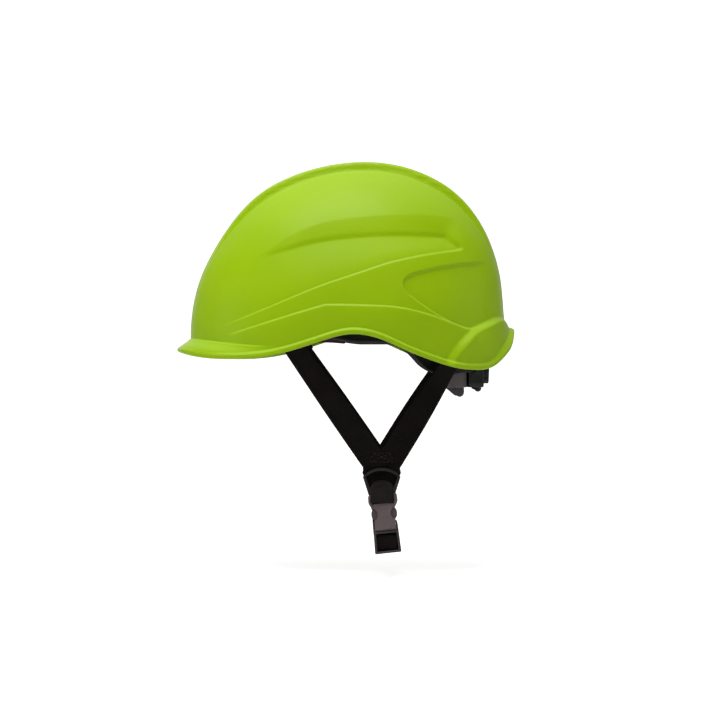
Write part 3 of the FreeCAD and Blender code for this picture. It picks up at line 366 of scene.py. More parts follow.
def web_profile(width, thickness):
    """Cross-section of webbing: rounded sides and a slightly thicker selvedge."""
    half, depth = width / 2, thickness / 2
    flat = np.linspace(-half + depth, half - depth, 15)
    swell = 1 + SELVEDGE * smooth(np.abs(flat), half - 2.2, half - 1.2)
    upper = [(a, depth * s) for a, s in zip(flat, swell)]
    edge = np.radians([45, 90, 135])
    right = [(half - depth + depth * math.sin(t), (1 + SELVEDGE) * depth * math.cos(t)) for t in edge]
    lower = [(a, -n) for a, n in reversed(upper)]
    left = [(-a, -n) for a, n in right]
    return np.array(upper + right + lower + left)


def swept(name, centres, across, normals, profile, scale=None):
    """Solid along a path; the profile holds (across, normal) offsets. The map runs across and along."""
    centres = np.asarray(centres, float)
    across = np.broadcast_to(across, centres.shape)
    normals = np.broadcast_to(normals, centres.shape)
    scale = np.ones((len(centres), 2)) if scale is None else scale
    wide = profile[None, :, 0:1] * scale[:, None, 0:1]
    deep = profile[None, :, 1:2] * scale[:, None, 1:2]
    rows = centres[:, None, :] + wide * across[:, None, :] + deep * normals[:, None, :]
    count, sides = rows.shape[:2]
    along = lengths_along(centres)
    uvs = np.stack([np.broadcast_to(wide[..., 0], (count, sides)),
                    np.broadcast_to(along[:, None], (count, sides))], axis=-1).reshape(-1, 2)
    faces = grid_faces(count, sides, closed=True)
    faces += [tuple(range(sides)), tuple(range((count - 1) * sides, count * sides))]
    return make_mesh(name, rows.reshape(-1, 3), faces, uvs)


def ribbon(name, centres, across, profile):
    """Webbing along a path, with one direction across it."""
    normals = unit(np.cross(across, unit(np.gradient(centres, axis=0))))
    return swept(name, centres, across, normals, profile)


def stitches(name, lines, length=2.1, gap=1.1, thickness=0.42):
    """Thread stitches on lines of (points, outward normals)."""
    ring = np.array([(math.cos(t), math.sin(t)) for t in np.linspace(0, 2 * math.pi, 6, endpoint=False)])
    bow = [(-0.5, 0.15), (-0.3, 0.8), (0, 1), (0.3, 0.8), (0.5, 0.15)]
    points, faces = [], []
    for track, outward in lines:
        along = lengths_along(track)
        for middle in np.arange(length / 2, along[-1] - length / 2 + 0.01, length + gap):
            centre = np.array([np.interp(middle, along, track[:, k]) for k in range(3)])
            out = unit(np.array([np.interp(middle, along, outward[:, k]) for k in range(3)]))
            ahead = np.array([np.interp(middle + 0.5, along, track[:, k]) for k in range(3)]) - centre
            ahead = unit(ahead + 1e-9)
            beside = np.cross(ahead, out)
            first = len(points)
            for t, size in bow:
                spot = centre + ahead * t * length + out * (size * 0.5 - 0.2) * thickness
                for c, s in ring:
                    points.append(spot + (beside * c + out * s) * thickness / 2 * (0.35 + 0.65 * size))
            faces += grid_faces(len(bow), 6, first, closed=True)
            faces += [tuple(range(first, first + 6)), tuple(range(first + 24, first + 30))]
    return make_mesh(name, points, faces)


# ---------------------------------------------------------------- shell

def side_angle(directions):
    side = np.degrees(np.arctan2(directions[..., 2], directions[..., 0]))
    return np.where(side < -90, side + 360, side)


def base_radius(directions):
    flat = cubic([a for a, r in OUTLINE], [r for a, r in OUTLINE], np.clip(side_angle(directions), -22, 202))
    level = np.sqrt(np.maximum(1 - directions[..., 1] ** 2, 0))
    return ((level / flat) ** POWER + (np.abs(directions[..., 1]) / HALF_WIDTH) ** POWER) ** (-1 / POWER)


def from_centre(directions, distances):
    return CENTRE + directions * distances[:, None]


def crown_rib(places, directions):
    """Raised band along the middle of the crown, with steep walls."""
    side = side_angle(directions)
    rise = smooth(side, 31, 62) * smooth(side, 148, 112)
    half = 28 + 3 * smooth(side, 60, 120)
    across = np.abs(places[..., 1])
    return (RIB_HEIGHT + RIB_EDGE * (across / half) ** 2) * rise * ramp(across, half + 2.1, half)


def brow_lip(places):
    line = curve(LIP_LINE, 60)
    top = np.interp(places[:, 0], line[:, 0], line[:, 1])
    drop = top - places[:, 2]
    forward = -places[:, 0]
    flare = LIP_REACH * smooth(forward, 38, 122) * smooth(drop, -1.2, 9)
    return flare + LIP_STEP * smooth(forward, 55, 80) * smooth(drop, -0.6, 0.8)


def bumper(places):
    distance, side = line_distance(places[:, [0, 2]], curve(BUMPER_LINE, 50))
    below = np.where(side < 0, distance, -distance)
    behind = smooth(places[:, 0], 64, 80)
    rear = BUMPER_DEPTH - BUMPER_TAPER * smooth(places[:, 0], 114, 131)
    return rear * behind * smooth(below, -2.9, 2.9) * (1 - 0.3 * smooth(places[:, 2], 2, -16))


def broad_shape(places, directions):
    return crown_rib(places, directions) + brow_lip(places) + bumper(places)


def wing_recess(flat):
    """Long side hollow: a bevel from the crest to the top line, then a floor that rises to the low line."""
    x = flat[:, 0]
    top = np.vstack([curve(WING_TOP, 50), curve(WING_TIP, 12)[1:]])
    low = curve(WING_LOW, 50)
    crest = curve(WING_CREST, 60)
    upper = top[(top[:, 0] > WING_CREST[0][0]) & (top[:, 1] > WING_CREST[0][1])]
    within = inside_outline(flat, np.vstack([top, low[1:]]))
    bevelled = inside_outline(flat, np.vstack([crest, upper[::-1]])) & ~within
    to_top, _ = line_distance(flat, top)
    to_low, _ = line_distance(flat, low)
    to_crest, _ = line_distance(flat, crest)
    fade = smooth(x, -72, -18) * (1 - smooth(x, 80, 96))
    bevel_share = to_crest / (to_crest + to_top + 1e-6)
    height = -np.where(bevelled, BEVEL_DEPTH * fade * bevel_share, 0)
    share = to_low / (to_low + to_top + 1e-6)
    low_depth = 1.3 * smooth(x, -112, -76)
    floor = BEVEL_DEPTH * fade * share ** 1.4 + low_depth * (1 - share)
    floor += WING_STEP * smooth(x, -78, -40) * smooth(to_top, -0.4, 3.4) * smooth(share, 0, 0.9)
    return height - np.where(within, floor * ramp(to_low, 0, 1.3), 0)


def panel_lines(places):
    """Fine steps of the outer face."""
    flat = places[:, [0, 2]]
    x = flat[:, 0]
    height = wing_recess(flat)

    nose = np.vstack([curve(NOSE_TOP, 30), curve(NOSE_TIP, 16)[1:], curve(NOSE_LOW, 30)[1:]])
    in_nose = inside_outline(flat, nose)
    to_nose, _ = line_distance(flat, nose)
    nose_depth = NOSE_DEPTH * ramp(to_nose, 0, 1.5) * (1 - smooth(x, 100, 120))
    height -= np.where(in_nose, nose_depth, 0)

    band_line = np.vstack([curve(BAND_FRONT, 30), curve(BAND_REAR, 40)[1:]])
    to_band, side = line_distance(flat, band_line)
    below = np.where(side < 0, to_band, -to_band)
    along_band = ramp(x, -96, -86) * (1 - ramp(x, 97, 103))
    height += BAND_DEPTH * ramp(below, -0.2, 1.5) * along_band * (1 - smooth(below, 3, 30))
    return height


def rim_flange(places):
    """Outward bead along the whole lower edge."""
    above = places[:, 2] - rim_height(places[:, 0])
    return flange_depth(places[:, 0]) * (1 - ramp(above, 2.0, 4.2 + 2.4 * smooth(places[:, 0], 116, 131)))


def surface(directions, fine):
    """Distance from the centre to the outer face; fine adds the panel steps at full depth."""
    radius = base_radius(directions)
    places = from_centre(directions, radius)
    grow = broad_shape(places, directions)
    broad = from_centre(directions, radius + grow)
    grow = grow + panel_lines(places) * fine
    return radius + grow + rim_flange(broad)


def direction_at(colatitude, turn):
    level = np.sin(colatitude)
    return np.stack([level * np.cos(turn), level * np.sin(turn), np.cos(colatitude)], axis=-1)


def rim_colatitude(turns):
    """Angle from straight up at which the surface meets the lower edge line."""
    near = np.full(len(turns), math.radians(60))
    far = np.full(len(turns), math.radians(112))
    for _ in range(26):
        middle = (near + far) / 2
        directions = direction_at(middle, turns)
        radius = base_radius(directions)
        grow = broad_shape(from_centre(directions, radius), directions)
        places = from_centre(directions, radius + grow)
        above = places[:, 2] > rim_height(places[:, 0])
        near = np.where(above, middle, near)
        far = np.where(above, far, middle)
    return near


def square_disc(count):
    """Grid on a square, as radius and angle on a disc, closer together near the border."""
    s = np.linspace(-1, 1, count)
    s = s + 0.25 * s * (1 - s * s)
    u, v = np.meshgrid(s, s, indexing="ij")
    x, y = disc(u, v)
    return np.hypot(x, y).ravel(), np.arctan2(y, x).ravel()


def rim_rows(out_ring, in_ring):
    """Rows that round the lower edge between the outer and the inner face."""
    middle = (out_ring + in_ring) / 2
    half = (out_ring - in_ring) / 2
    around = np.roll(out_ring, 1, axis=0) - np.roll(out_ring, -1, axis=0)
    down = unit(np.cross(around, half))
    down *= np.sign(-down[:, 2:3])
    size = np.linalg.norm(half, axis=1, keepdims=True) * 0.8
    return [middle + half * math.cos(a) + down * size * math.sin(a) for a in np.radians([36, 72, 108, 144])]


def shell_faces(count):
    """Fine outer grid, inner grid with half the rows, and the strip between them at the lower edge."""
    radius, turn = square_disc(count)
    turns = np.linspace(-math.pi, math.pi, 721)
    directions = direction_at(radius * np.interp(turn, turns, rim_colatitude(turns)), turn)
    outer = from_centre(directions, surface(directions, 1.0))
    every = np.arange(count * count).reshape(count, count)[::2, ::2].ravel()
    inner = from_centre(directions[every], surface(directions[every], 0.8) - WALL)
    small = (count + 1) // 2
    ring, small_ring = border_ring(count, count), border_ring(small, small)
    in_ring = from_centre(directions[ring], surface(directions[ring], 0.8) - WALL)
    rows = rim_rows(outer[ring], in_ring)
    points = np.vstack([outer, inner] + rows)
    total = count * count
    first_row = total + small * small
    faces = grid_faces(count, count) + grid_faces(small, small, total)
    loops = [ring] + [first_row + k * len(ring) + np.arange(len(ring)) for k in range(len(rows))]
    for first, second in zip(loops, loops[1:]):
        faces += strip_faces(first, second)
    last, inner_loop = loops[-1], small_ring + total
    for i in range(len(inner_loop)):
        a, b, c = last[2 * i], last[2 * i + 1], last[(2 * i + 2) % len(last)]
        d, e = inner_loop[i], inner_loop[(i + 1) % len(inner_loop)]
        faces += [(a, b, d), (b, e, d), (b, c, e)]
    return points, faces


def wall_place(plan_angle, height):
    """Point of the inner wall at a plan angle in degrees and a height."""
    out = direction(plan_angle)
    near, far = 20.0, 160.0
    for _ in range(40):
        middle = (near + far) / 2
        place = np.array([CENTRE[0], 0, height]) + out * middle
        offset = place - CENTRE
        distance = np.linalg.norm(offset)
        if distance < base_radius(offset / distance) - WALL:
            near = middle
        else:
            far = middle
    return np.array([CENTRE[0], 0, height]) + out * near


def wall_frame(plan_angle, height):
    """Function that places points drawn with x outwards, square to the wall."""
    ahead = wall_place(plan_angle + 3, height) - wall_place(plan_angle - 3, height)
    out = unit(np.array([ahead[1], -ahead[0], 0]))
    beside = np.array([-out[1], out[0], 0])
    return placed(wall_place(plan_angle, height), out, beside, np.array([0, 0, 1.0]))


SOCKET_ANGLES = (160, 90, -90, -160, 20, -20)
KEY_HEIGHT = 30


def shell_sockets():
    """Slotted bosses inside the shell that take the suspension keys."""
    pieces = []
    depth, half, rise, root = -7, 13, 6, 0.2
    for angle in SOCKET_ANGLES:
        place = wall_frame(angle, KEY_HEIGHT)
        pieces.append(block((depth, -half, -rise), (-5.3, half, rise), place))
        pieces.append(block((-2.3, -half, -rise), (root, half, rise), place))
        for side in (-1, 1):
            low, high = sorted((side * 10.2, side * half))
            pieces.append(block((depth, low, -rise), (root, high, rise), place))
            low, high = sorted((side * 5.0, side * 6.2))
            pieces.append(block((-7.8, low, -rise), (-6.5, high, 4.5), place))
    return join("shell_sockets", pieces)


# ---------------------------------------------------------------- strap anchors

STRAP_WIDTH = 20.0
STRAP_THICKNESS = 1.6
HARNESS_Y = 84.0
JOIN = np.array([29.2, 84.0, -93.8])
ANCHORS = [(front, side) for side in (LEFT, RIGHT) for front in (True, False)]


def strap_ends(front, side):
    top = np.array([-52, 89, 12.5]) if front else np.array([96, 70.5, 2.5])
    shift = -5.5 if front else 5.5
    layer = 0.9 if front else -0.9
    flip = np.array([1, side, 1])
    return top * flip, (JOIN + np.array([shift, layer, 0])) * flip


def anchor_frame(front, side):
    """Origin on the wall, outward direction, direction beside and direction up the strap."""
    top, foot = strap_ends(front, side)
    down = unit(foot - top)
    rivet = top - down * 21
    angle = math.degrees(math.atan2(rivet[1], rivet[0] - CENTRE[0]))
    out = direction(angle)
    up = -unit(down - out * (down @ out))
    return wall_place(angle, rivet[2]), out, np.cross(up, out), up


def anchor_bosses():
    """Bosses with gussets under the rivets of the chin straps."""
    pieces = []
    for front, side in ANCHORS:
        place = placed(*anchor_frame(front, side))
        pieces.append(turned([(-6, 4.7), (-5.7, 5), (-1, 5.2)], place))
        for low, high in (((-4.5, -6.5, -0.8), (-0.9, 6.5, 0.8)), ((-4.5, -0.8, -6.5), (-0.9, 0.8, 6.5))):
            pieces.append(block(low, high, place))
    return join("anchor_bosses", pieces)


# ---------------------------------------------------------------- chin straps

def chin_strap(front, side):
    """Webbing from a loop round the tab's bar, down to the ring and behind its top bar."""
    top, foot = strap_ends(front, side)
    out = anchor_frame(front, side)[1]
    foot = foot + np.array([-1.8 if front else 1.8, 0, 0])
    down = unit(foot - top)
    lead = np.linalg.norm(JOIN[2] - top[2]) / abs(down[2])
    facing_foot = np.array([0, side, 0.0])
    run = np.linspace(0, 1, 60)
    reach = lead + (9 / abs(down[2]))
    centres = top + down * (run[:, None] * reach)
    inwards = 3.4 * smooth(centres[:, 2], -88, -99)
    centres[:, 1] -= side * inwards
    share = smooth(run, 0, 0.9)[:, None]
    facing = unit(out * (1 - share) + facing_foot * share)
    turn = np.radians(np.linspace(180, 0, 9))
    loop_centre = top - out * 1.6
    loop = loop_centre + np.cos(turn)[:, None] * out * 1.6 - np.sin(turn)[:, None] * down * 2.0
    tail_run = np.linspace(24, 0, 8)[:, None]
    tail = top - out * 3.2 + down * tail_run
    path = np.vstack([tail[:-1], loop[:-1], centres])
    around = np.cos(turn[:-1])[:, None] * out - np.sin(turn[:-1])[:, None] * down
    faces = np.vstack([-repeat(out, len(tail) - 1), around, facing])
    across = unit(np.cross(down, facing))
    widths = np.vstack([repeat(across[0], len(path) - len(run)), across])
    strap = swept("chin_strap", path, widths, unit(faces), web_profile(STRAP_WIDTH, STRAP_THICKNESS))
    gather(strap)
    return strap


GATHER_TOP = -100


def gather(strap):
    """Draws the foot of a strap in to the width of the ring."""
    points = get_points(strap.data) / MM
    limit = ring_room(points[:, 2])
    narrow = JOIN[0] + np.clip(points[:, 0] - JOIN[0], -limit, limit)
    points[:, 0] = np.where(points[:, 2] < GATHER_TOP, narrow, points[:, 0])
    set_points(strap.data, points * MM)


FOLD_Z = -116.2


def ring_room(z):
    """Half width that the webbing has beside and inside the ring at a height."""
    return 15.4 - 2.6 * ramp(z, -103.5, -108.5) - 0.33 * np.maximum(-108.5 - z, 0)


def strap_fold(side):
    """Sewn end of a side's straps: it passes behind the ring's top bar and folds back inside the ring."""
    z = np.linspace(-90, FOLD_Z, 30)
    inwards = 1.2 + 2.2 * smooth(z, -91, -99) - 1.2 * smooth(z, -102.5, -107)
    turn = np.radians(np.linspace(0, 180, 9)[1:])
    fold_in = inwards[-1] + 1.3 - 1.3 * np.cos(turn)
    back_z = np.linspace(FOLD_Z, -96, 16)[1:]
    back_in = fold_in[-1] + 1.0 * smooth(back_z, -110, -104)
    depth = np.concatenate([inwards, fold_in, back_in])
    height = np.concatenate([z, FOLD_Z - 1.3 * np.sin(turn), back_z])
    centres = stack(JOIN[0], side * (HARNESS_Y - depth), height)
    normals = unit(np.cross(unit(np.gradient(centres, axis=0)), (1, 0, 0)))
    half_width = np.minimum(ring_room(height) + 0.9, 12.4 + 0.22 * (-90 - height))
    scale = stack(half_width / 10, 1)
    return swept("strap_fold_" + SIDES[side], centres, (1, 0, 0), normals, web_profile(20, 1.5), scale)


def strap_stitches(side):
    """Box of stitches where the two straps of a side cross."""
    y = side * (HARNESS_Y + 1.75)
    corners = np.array([(22.5, y, -88.5), (36, y, -88.5), (38.5, y, -95.5), (20, y, -95.5), (22.5, y, -88.5)])
    ends = [*zip(corners, corners[1:]), (corners[0], corners[2]), (corners[1], corners[3])]
    lines = [(np.linspace(start, end, 6), repeat((0, side, 0), 6)) for start, end in ends]
    return stitches("join_stitches_" + SIDES[side], lines)


# ---------------------------------------------------------------- suspension

OVAL_POWER = 2.2
BAND_HALF = (106.0, 83.0)
BAND_END = 62


def oval(angles, half_length, half_width):
    """Points of the head oval at plan angles in degrees, and their outward normals."""
    c, s = np.cos(np.radians(angles)), np.sin(np.radians(angles))
    share = (np.abs(c) / half_length) ** OVAL_POWER + (np.abs(s) / half_width) ** OVAL_POWER
    radius = share ** (-1 / OVAL_POWER)
    points = stack(CENTRE[0] + radius * c, radius * s, 0)
    slope_x = np.sign(c) * (np.abs(radius * c) / half_length) ** (OVAL_POWER - 1) / half_length
    slope_y = np.sign(s) * (np.abs(radius * s) / half_width) ** (OVAL_POWER - 1) / half_width
    return points, unit(stack(slope_x, slope_y, 0))


def headband():
    """Band with beads along both edges and a shallow middle groove."""
    angles = np.linspace(BAND_END, 360 - BAND_END, 160)
    points, outward = oval(angles, *BAND_HALF)
    rise = 5 * smooth(-points[:, 0], -14, 26)
    points[:, 2] = 16 + rise / 2
    z = np.array([-16, -15.6, -14.6, -13.2, -12.4, -4, -3, 3, 4, 12.4, 13.2, 14.6, 15.6, 16])
    out = np.array([0.7, 1.8, 2.0, 1.9, 1.3, 1.3, 1.7, 1.7, 1.3, 1.3, 1.9, 2.0, 1.8, 0.7])
    profile = np.array([*zip(z, out), (15.4, 0.05), (12, 0), (0, 0), (-12, 0), (-15.4, 0.05)])
    ends = ramp(np.minimum(angles - BAND_END, 360 - BAND_END - angles), -1.2, 2.6)
    scale = stack((0.45 + 0.55 * np.sqrt(ends)) * (1 - rise / 32), 1)
    return swept("headband", points, (0, 0, 1), outward, profile, scale)


CROWN_STRAP_HEIGHT = 104
CROWN_STRAP_STEP = 1.7
CROWN_STRAP_SETBACK = 8.8
CROWN_POWER = 2.4


def crown_strap(name, angle, layer):
    """Strap from one key over the head to the opposite key."""
    height = CROWN_STRAP_HEIGHT + layer * CROWN_STRAP_STEP
    foot = KEY_HEIGHT - 4
    axis = np.array([CENTRE[0], 0, 0])
    walls = [wall_place(a, KEY_HEIGHT) - axis for a in (angle, angle + 180)]
    ends = [np.hypot(*wall[:2]) - CROWN_STRAP_SETBACK for wall in walls]
    turn = np.radians(np.linspace(0, 180, 90))
    c = np.sign(np.cos(turn)) * np.abs(np.cos(turn)) ** (2 / CROWN_POWER)
    s = np.abs(np.sin(turn)) ** (2 / CROWN_POWER)
    out = direction(angle)
    reach = np.where(c > 0, c * ends[0], c * ends[1])
    centres = axis + reach[:, None] * out + np.outer(foot + s * (height - foot), [0, 0, 1])
    return ribbon(name, centres, (-out[1], out[0], 0), web_profile(20, 1.2))


PAD_CORNER = 0.25
PAD_PRESSURE = 4.0
PAD_FRAMES = 20
PAD_SWELL = 5.0
QUILT_THICKNESS = 0.4


def cushion(name, patch, columns, rows, thickness):
    """Closed pillow on a patch: patch(u, v) gives points and outward normals for u, v in -1..1."""
    u, v = np.meshgrid(np.linspace(-1, 1, columns), np.linspace(-1, 1, rows), indexing="ij")
    u, v = u.ravel(), v.ravel()
    points, normals = patch(u, v)
    edge = np.minimum((1 - np.abs(u)) * columns / rows, 1 - np.abs(v))
    puff = np.sqrt(np.clip(1 - (1 - np.clip(edge / (2 * PAD_CORNER), 0, 1)) ** 2, 0, 1))
    depth = thickness / 2 * (0.12 + 0.88 * puff)
    top = points + normals * depth[:, None]
    bottom = points - normals * depth[:, None]
    count = columns * rows
    ring = border_ring(columns, rows)
    faces = grid_faces(columns, rows) + grid_faces(columns, rows, count) + strip_faces(ring, ring + count)
    uvs = np.tile(stack(v, u) * 16, (2, 1))
    return make_mesh(name, np.vstack([top, bottom]), faces, uvs)


def puffed(piece, pinned):
    """Blows the cushion up as cloth, held at the pinned points, and keeps the settled shape."""
    before = get_points(piece.data)
    group = piece.vertex_groups.new(name="pins")
    group.add([int(i) for i in np.flatnonzero(pinned)], 1.0, "REPLACE")
    cloth = piece.modifiers.new("cloth", "CLOTH")
    settings = cloth.settings
    settings.quality = 7
    settings.mass = 0.15
    settings.tension_stiffness = 12
    settings.compression_stiffness = 12
    settings.shear_stiffness = 4
    settings.bending_stiffness = 0.15
    settings.shrink_min = -0.06
    settings.use_pressure = True
    settings.uniform_pressure_force = PAD_PRESSURE
    settings.vertex_group_mass = "pins"
    settings.effector_weights.gravity = 0
    cloth.collision_settings.use_collision = False
    cloth.point_cache.frame_start = 1
    cloth.point_cache.frame_end = PAD_FRAMES
    for step in range(1, PAD_FRAMES + 1):
        bpy.context.scene.frame_set(step)
    apply_modifiers(piece)
    bpy.context.scene.frame_set(1)
    move = get_points(piece.data) - before
    size = np.linalg.norm(move, axis=1, keepdims=True)
    move *= np.minimum(1, PAD_SWELL * MM / np.maximum(size, 1e-9))
    set_points(piece.data, before + move)
    rounder = piece.modifiers.new("round", "SUBSURF")
    rounder.levels = 2
    rounder.render_levels = 2
    apply_modifiers(piece)
    shade_smooth(piece.data)


def brow_patch(u, v):
    angles = 180 + 88 * u
    points, outward = oval(angles, BAND_HALF[0] - 3.6, BAND_HALF[1] - 3.6)
    low = -1 + 2.6 * smooth(-points[:, 0], -20, 20)
    points[:, 2] = low + (v + 1) / 2 * (33 - low)
    return points, outward


CRADLE_HALF_WIDTH = 80
CRADLE_HALF_LENGTH = 103
CRADLE_FLAT_X = 98.7
CRADLE_BLEND = 6
NAPE_PAD_INSET = -2.9


def cradle_place(y, extra):
    """X of the rear plate: it follows the head oval at the sides and is flat across the back."""
    share = (np.abs(y) / (CRADLE_HALF_WIDTH + extra)) ** OVAL_POWER
    round_x = CENTRE[0] + (CRADLE_HALF_LENGTH + extra) * (1 - share) ** (1 / OVAL_POWER)
    start = CRADLE_FLAT_X + extra - CRADLE_BLEND
    flat_x = start + CRADLE_BLEND * np.tanh((round_x - start) / CRADLE_BLEND)
    return np.where(round_x < start, round_x, flat_x)


def nape_patch(u, v):
    y = 54 * u
    x = cradle_place(y, NAPE_PAD_INSET)
    slope = cradle_place(y + 0.5, NAPE_PAD_INSET) - cradle_place(y - 0.5, NAPE_PAD_INSET)
    outward = unit(stack(1, -slope, 0))
    low = -44 + 9 * smooth(np.abs(y), 34, 54)
    return stack(x, y, low + (v + 1) / 2 * (-9 - low)), outward


CROWN_PAD_RADIUS = 34
CROWN_PAD_CURVE = 147.5
CROWN_PAD_CENTRE = -48.2


def crown_patch(u, v):
    x, y = disc(u, v)
    x, y = x * CROWN_PAD_RADIUS, y * CROWN_PAD_RADIUS
    offset = stack(x, y, np.sqrt(CROWN_PAD_CURVE ** 2 - x * x - y * y))
    return np.array([CENTRE[0], 0, CROWN_PAD_CENTRE]) + offset, unit(offset)


def quilt(piece, columns, rows, u_lines):
    """Presses the quilting columns of a cushion flat, and returns which points of its two faces are held."""
    faces = get_points(piece.data).reshape(2, columns, rows, 3)
    middle = (faces[0] + faces[1]) / 2
    held = np.zeros((columns, rows), bool)
    held.flat[border_ring(columns, rows)] = True
    for line in u_lines:
        column = int(round((line + 1) / 2 * (columns - 1)))
        faces[:, column] = middle[column] + (faces[:, column] - middle[column]) * QUILT_THICKNESS
        held[column] = True
    set_points(piece.data, faces)
    return np.tile(held.ravel(), 2)


# ---------------------------------------------------------------- nape arms

ARM_PATH = [(69, 11, 10), (60, 4, 9), (49, -10, 9.5), (38, -17, 9), (27, -17, 7.5), (19.2, -16, 7)]
ARM_TAPER_START = 60
ARM_END = 19
ARM_ROOM = 3.6


def nape_arm(side):
    """Curved arm from the side pivot down and back to the ratchet housing."""
    path = np.array(ARM_PATH, float)
    along = np.linspace(0, 1, 70)
    knots = lengths_along(path[:, :2])
    values = cubic(knots / knots[-1], path, along)
    plan_angles = values[:, 0]
    inwards = ARM_ROOM * smooth(plan_angles, ARM_TAPER_START, 48) * smooth(plan_angles, ARM_END, 26)
    points, outward = oval(side * plan_angles, 109.9 - inwards, 87.5 - inwards)
    points[:, 2] = values[:, 1]
    inset = np.sqrt(np.clip(1 - (1 - ramp(along, -0.004, 0.055)) ** 2, 0, 1))
    scale = stack(values[:, 2] * (0.25 + 0.75 * inset), 1)
    z = np.array([-1, -0.96, -0.84, -0.76, -0.4, 0, 0.4, 0.76, 0.84, 0.96, 1])
    out = np.array([0, 0.75, 0.9, 0.45, 0.4, 0.4, 0.4, 0.45, 0.9, 0.75, 0])
    inner = [(0.95, -0.8), (0.5, -0.9), (0, -0.9), (-0.5, -0.9), (-0.95, -0.8)]
    profile = np.array([*zip(z, out), *inner])
    return swept("nape_arm", points, (0, 0, 1), outward, profile, scale)


# ---------------------------------------------------------------- buckle webbing

MOUTH = np.array([32.6, -84.0, -150.4])
TILT = math.radians(-6)
RING_BAR_Z = -121.4
EYE_BAR_Z = 24.9
MIDDLE_BAR_Z = -9.8
PLATE_WELD = 0.005 * MM


def buckle_place(points):
    """Points drawn upright about the buckle's mouth, tilted to their place."""
    x, y, z = np.asarray(points, float).T
    c, s = math.cos(TILT), math.sin(TILT)
    return MOUTH + stack(x * c + z * s, y, z * c - x * s)


def plate(name, outlines, depth, rounding, middle=0.0):
    """Rounded plate of the buckle from closed (x, z) outlines, the later ones being holes."""
    drawing = bpy.data.curves.new(name, "CURVE")
    drawing.dimensions = "2D"
    drawing.fill_mode = "BOTH"
    drawing.extrude = (depth / 2 - rounding) * MM
    drawing.bevel_depth = rounding * MM
    drawing.bevel_resolution = 3
    drawing.offset = -rounding * MM
    for outline in outlines:
        spline = drawing.splines.new("POLY")
        spline.points.add(len(outline) - 1)
        for point, (x, z) in zip(spline.points, outline):
            point.co = (x * MM, z * MM, 0, 1)
        spline.use_cyclic_u = True
    holder = add_object(name + "_curve", drawing)
    bpy.context.view_layer.update()
    mesh = bpy.data.meshes.new_from_object(holder.evaluated_get(bpy.context.evaluated_depsgraph_get()))
    bpy.data.objects.remove(holder)
    bpy.data.curves.remove(drawing)
    x, z, y = get_points(mesh).T / MM
    set_points(mesh, buckle_place(stack(x, middle + y, z)) * MM)
    clean_mesh(mesh, PLATE_WELD)
    return add_object(name, mesh)


def rounded(corners, radius, steps=5):
    """Closed outline with each corner replaced by a curve that starts a radius away."""
    corners = np.asarray(corners, float)
    outline = []
    for before, corner, after in zip(np.roll(corners, 1, axis=0), corners, np.roll(corners, -1, axis=0)):
        start = corner + unit(before - corner) * min(radius, np.linalg.norm(before - corner) / 2)
        end = corner + unit(after - corner) * min(radius, np.linalg.norm(after - corner) / 2)
        for t in np.linspace(0, 1, steps):
            outline.append((1 - t) ** 2 * start + 2 * t * (1 - t) * corner + t ** 2 * end)
    return outline


def mirror_outline(half):
    return half + [(-x, z) for x, z in reversed(half)]


def on_side(corners, side):
    return [(side * x, z) for x, z in corners]


def rectangle(low_x, high_x, low_z, high_z):
    return [(low_x, low_z), (high_x, low_z), (high_x, high_z), (low_x, high_z)]


def buckle_bar(profile, y, z):
    """Round bar across the buckle from (x, radius) points."""
    return turned(profile, lambda p: buckle_place(p + [0, y, z]), 16)


def buckle_female():
    """Two crowned faces with finger notches, side rails, and ears that carry the eye bar."""
    turns = np.radians(np.linspace(-78, 78, 13))
    notch = [(9.4 - 4.1 * math.cos(a), 13.2 - 5.1 * math.sin(a)) for a in turns]
    half = [(7.6, 22.0), (8.6, 20.8), (8.6, 18.6)] + notch + [(8.5, 7.8), (8.4, 4), (8.5, 0.1)]
    face = rounded(mirror_outline(half), 0.35, 3)
    pieces = [plate("face", [face], 1.9, 0.6, middle) for middle in (-2.9, 2.9)]
    for side in (-1, 1):
        for low, high in ((0.2, 7.8), (18.4, 21.6)):
            rail = rounded(on_side(rectangle(7.2, 8.4, low, high), side), 0.3, 3)
            pieces.append(plate("rail", [rail], 5.6, 0.25))
        ear = [(8.8, 28.4), (10.6, 29.2), (11.7, 28), (11.9, 22.8), (10.4, 19.6), (8.2, 17.6), (7.4, 19.5),
               (8.3, 21.6), (9.0, 23)]
        pieces.append(plate("ear", [rounded(on_side(ear, side), 0.9)], 6.2, 0.8))
    pieces.append(plate("top", [rounded(rectangle(-7.6, 7.6, 18.7, 21.7), 0.3)], 5.6, 0.3))
    pieces.append(plate("back", [rounded(rectangle(-9.8, 9.8, 17.5, 28.4), 1)], 1.4, 0.4, 4.3))
    bar = buckle_bar([(-10, 0.9), (-9.6, 1.1), (9.6, 1.1), (10, 0.9)], 0, EYE_BAR_Z)
    return join("female_body", pieces + [bar])


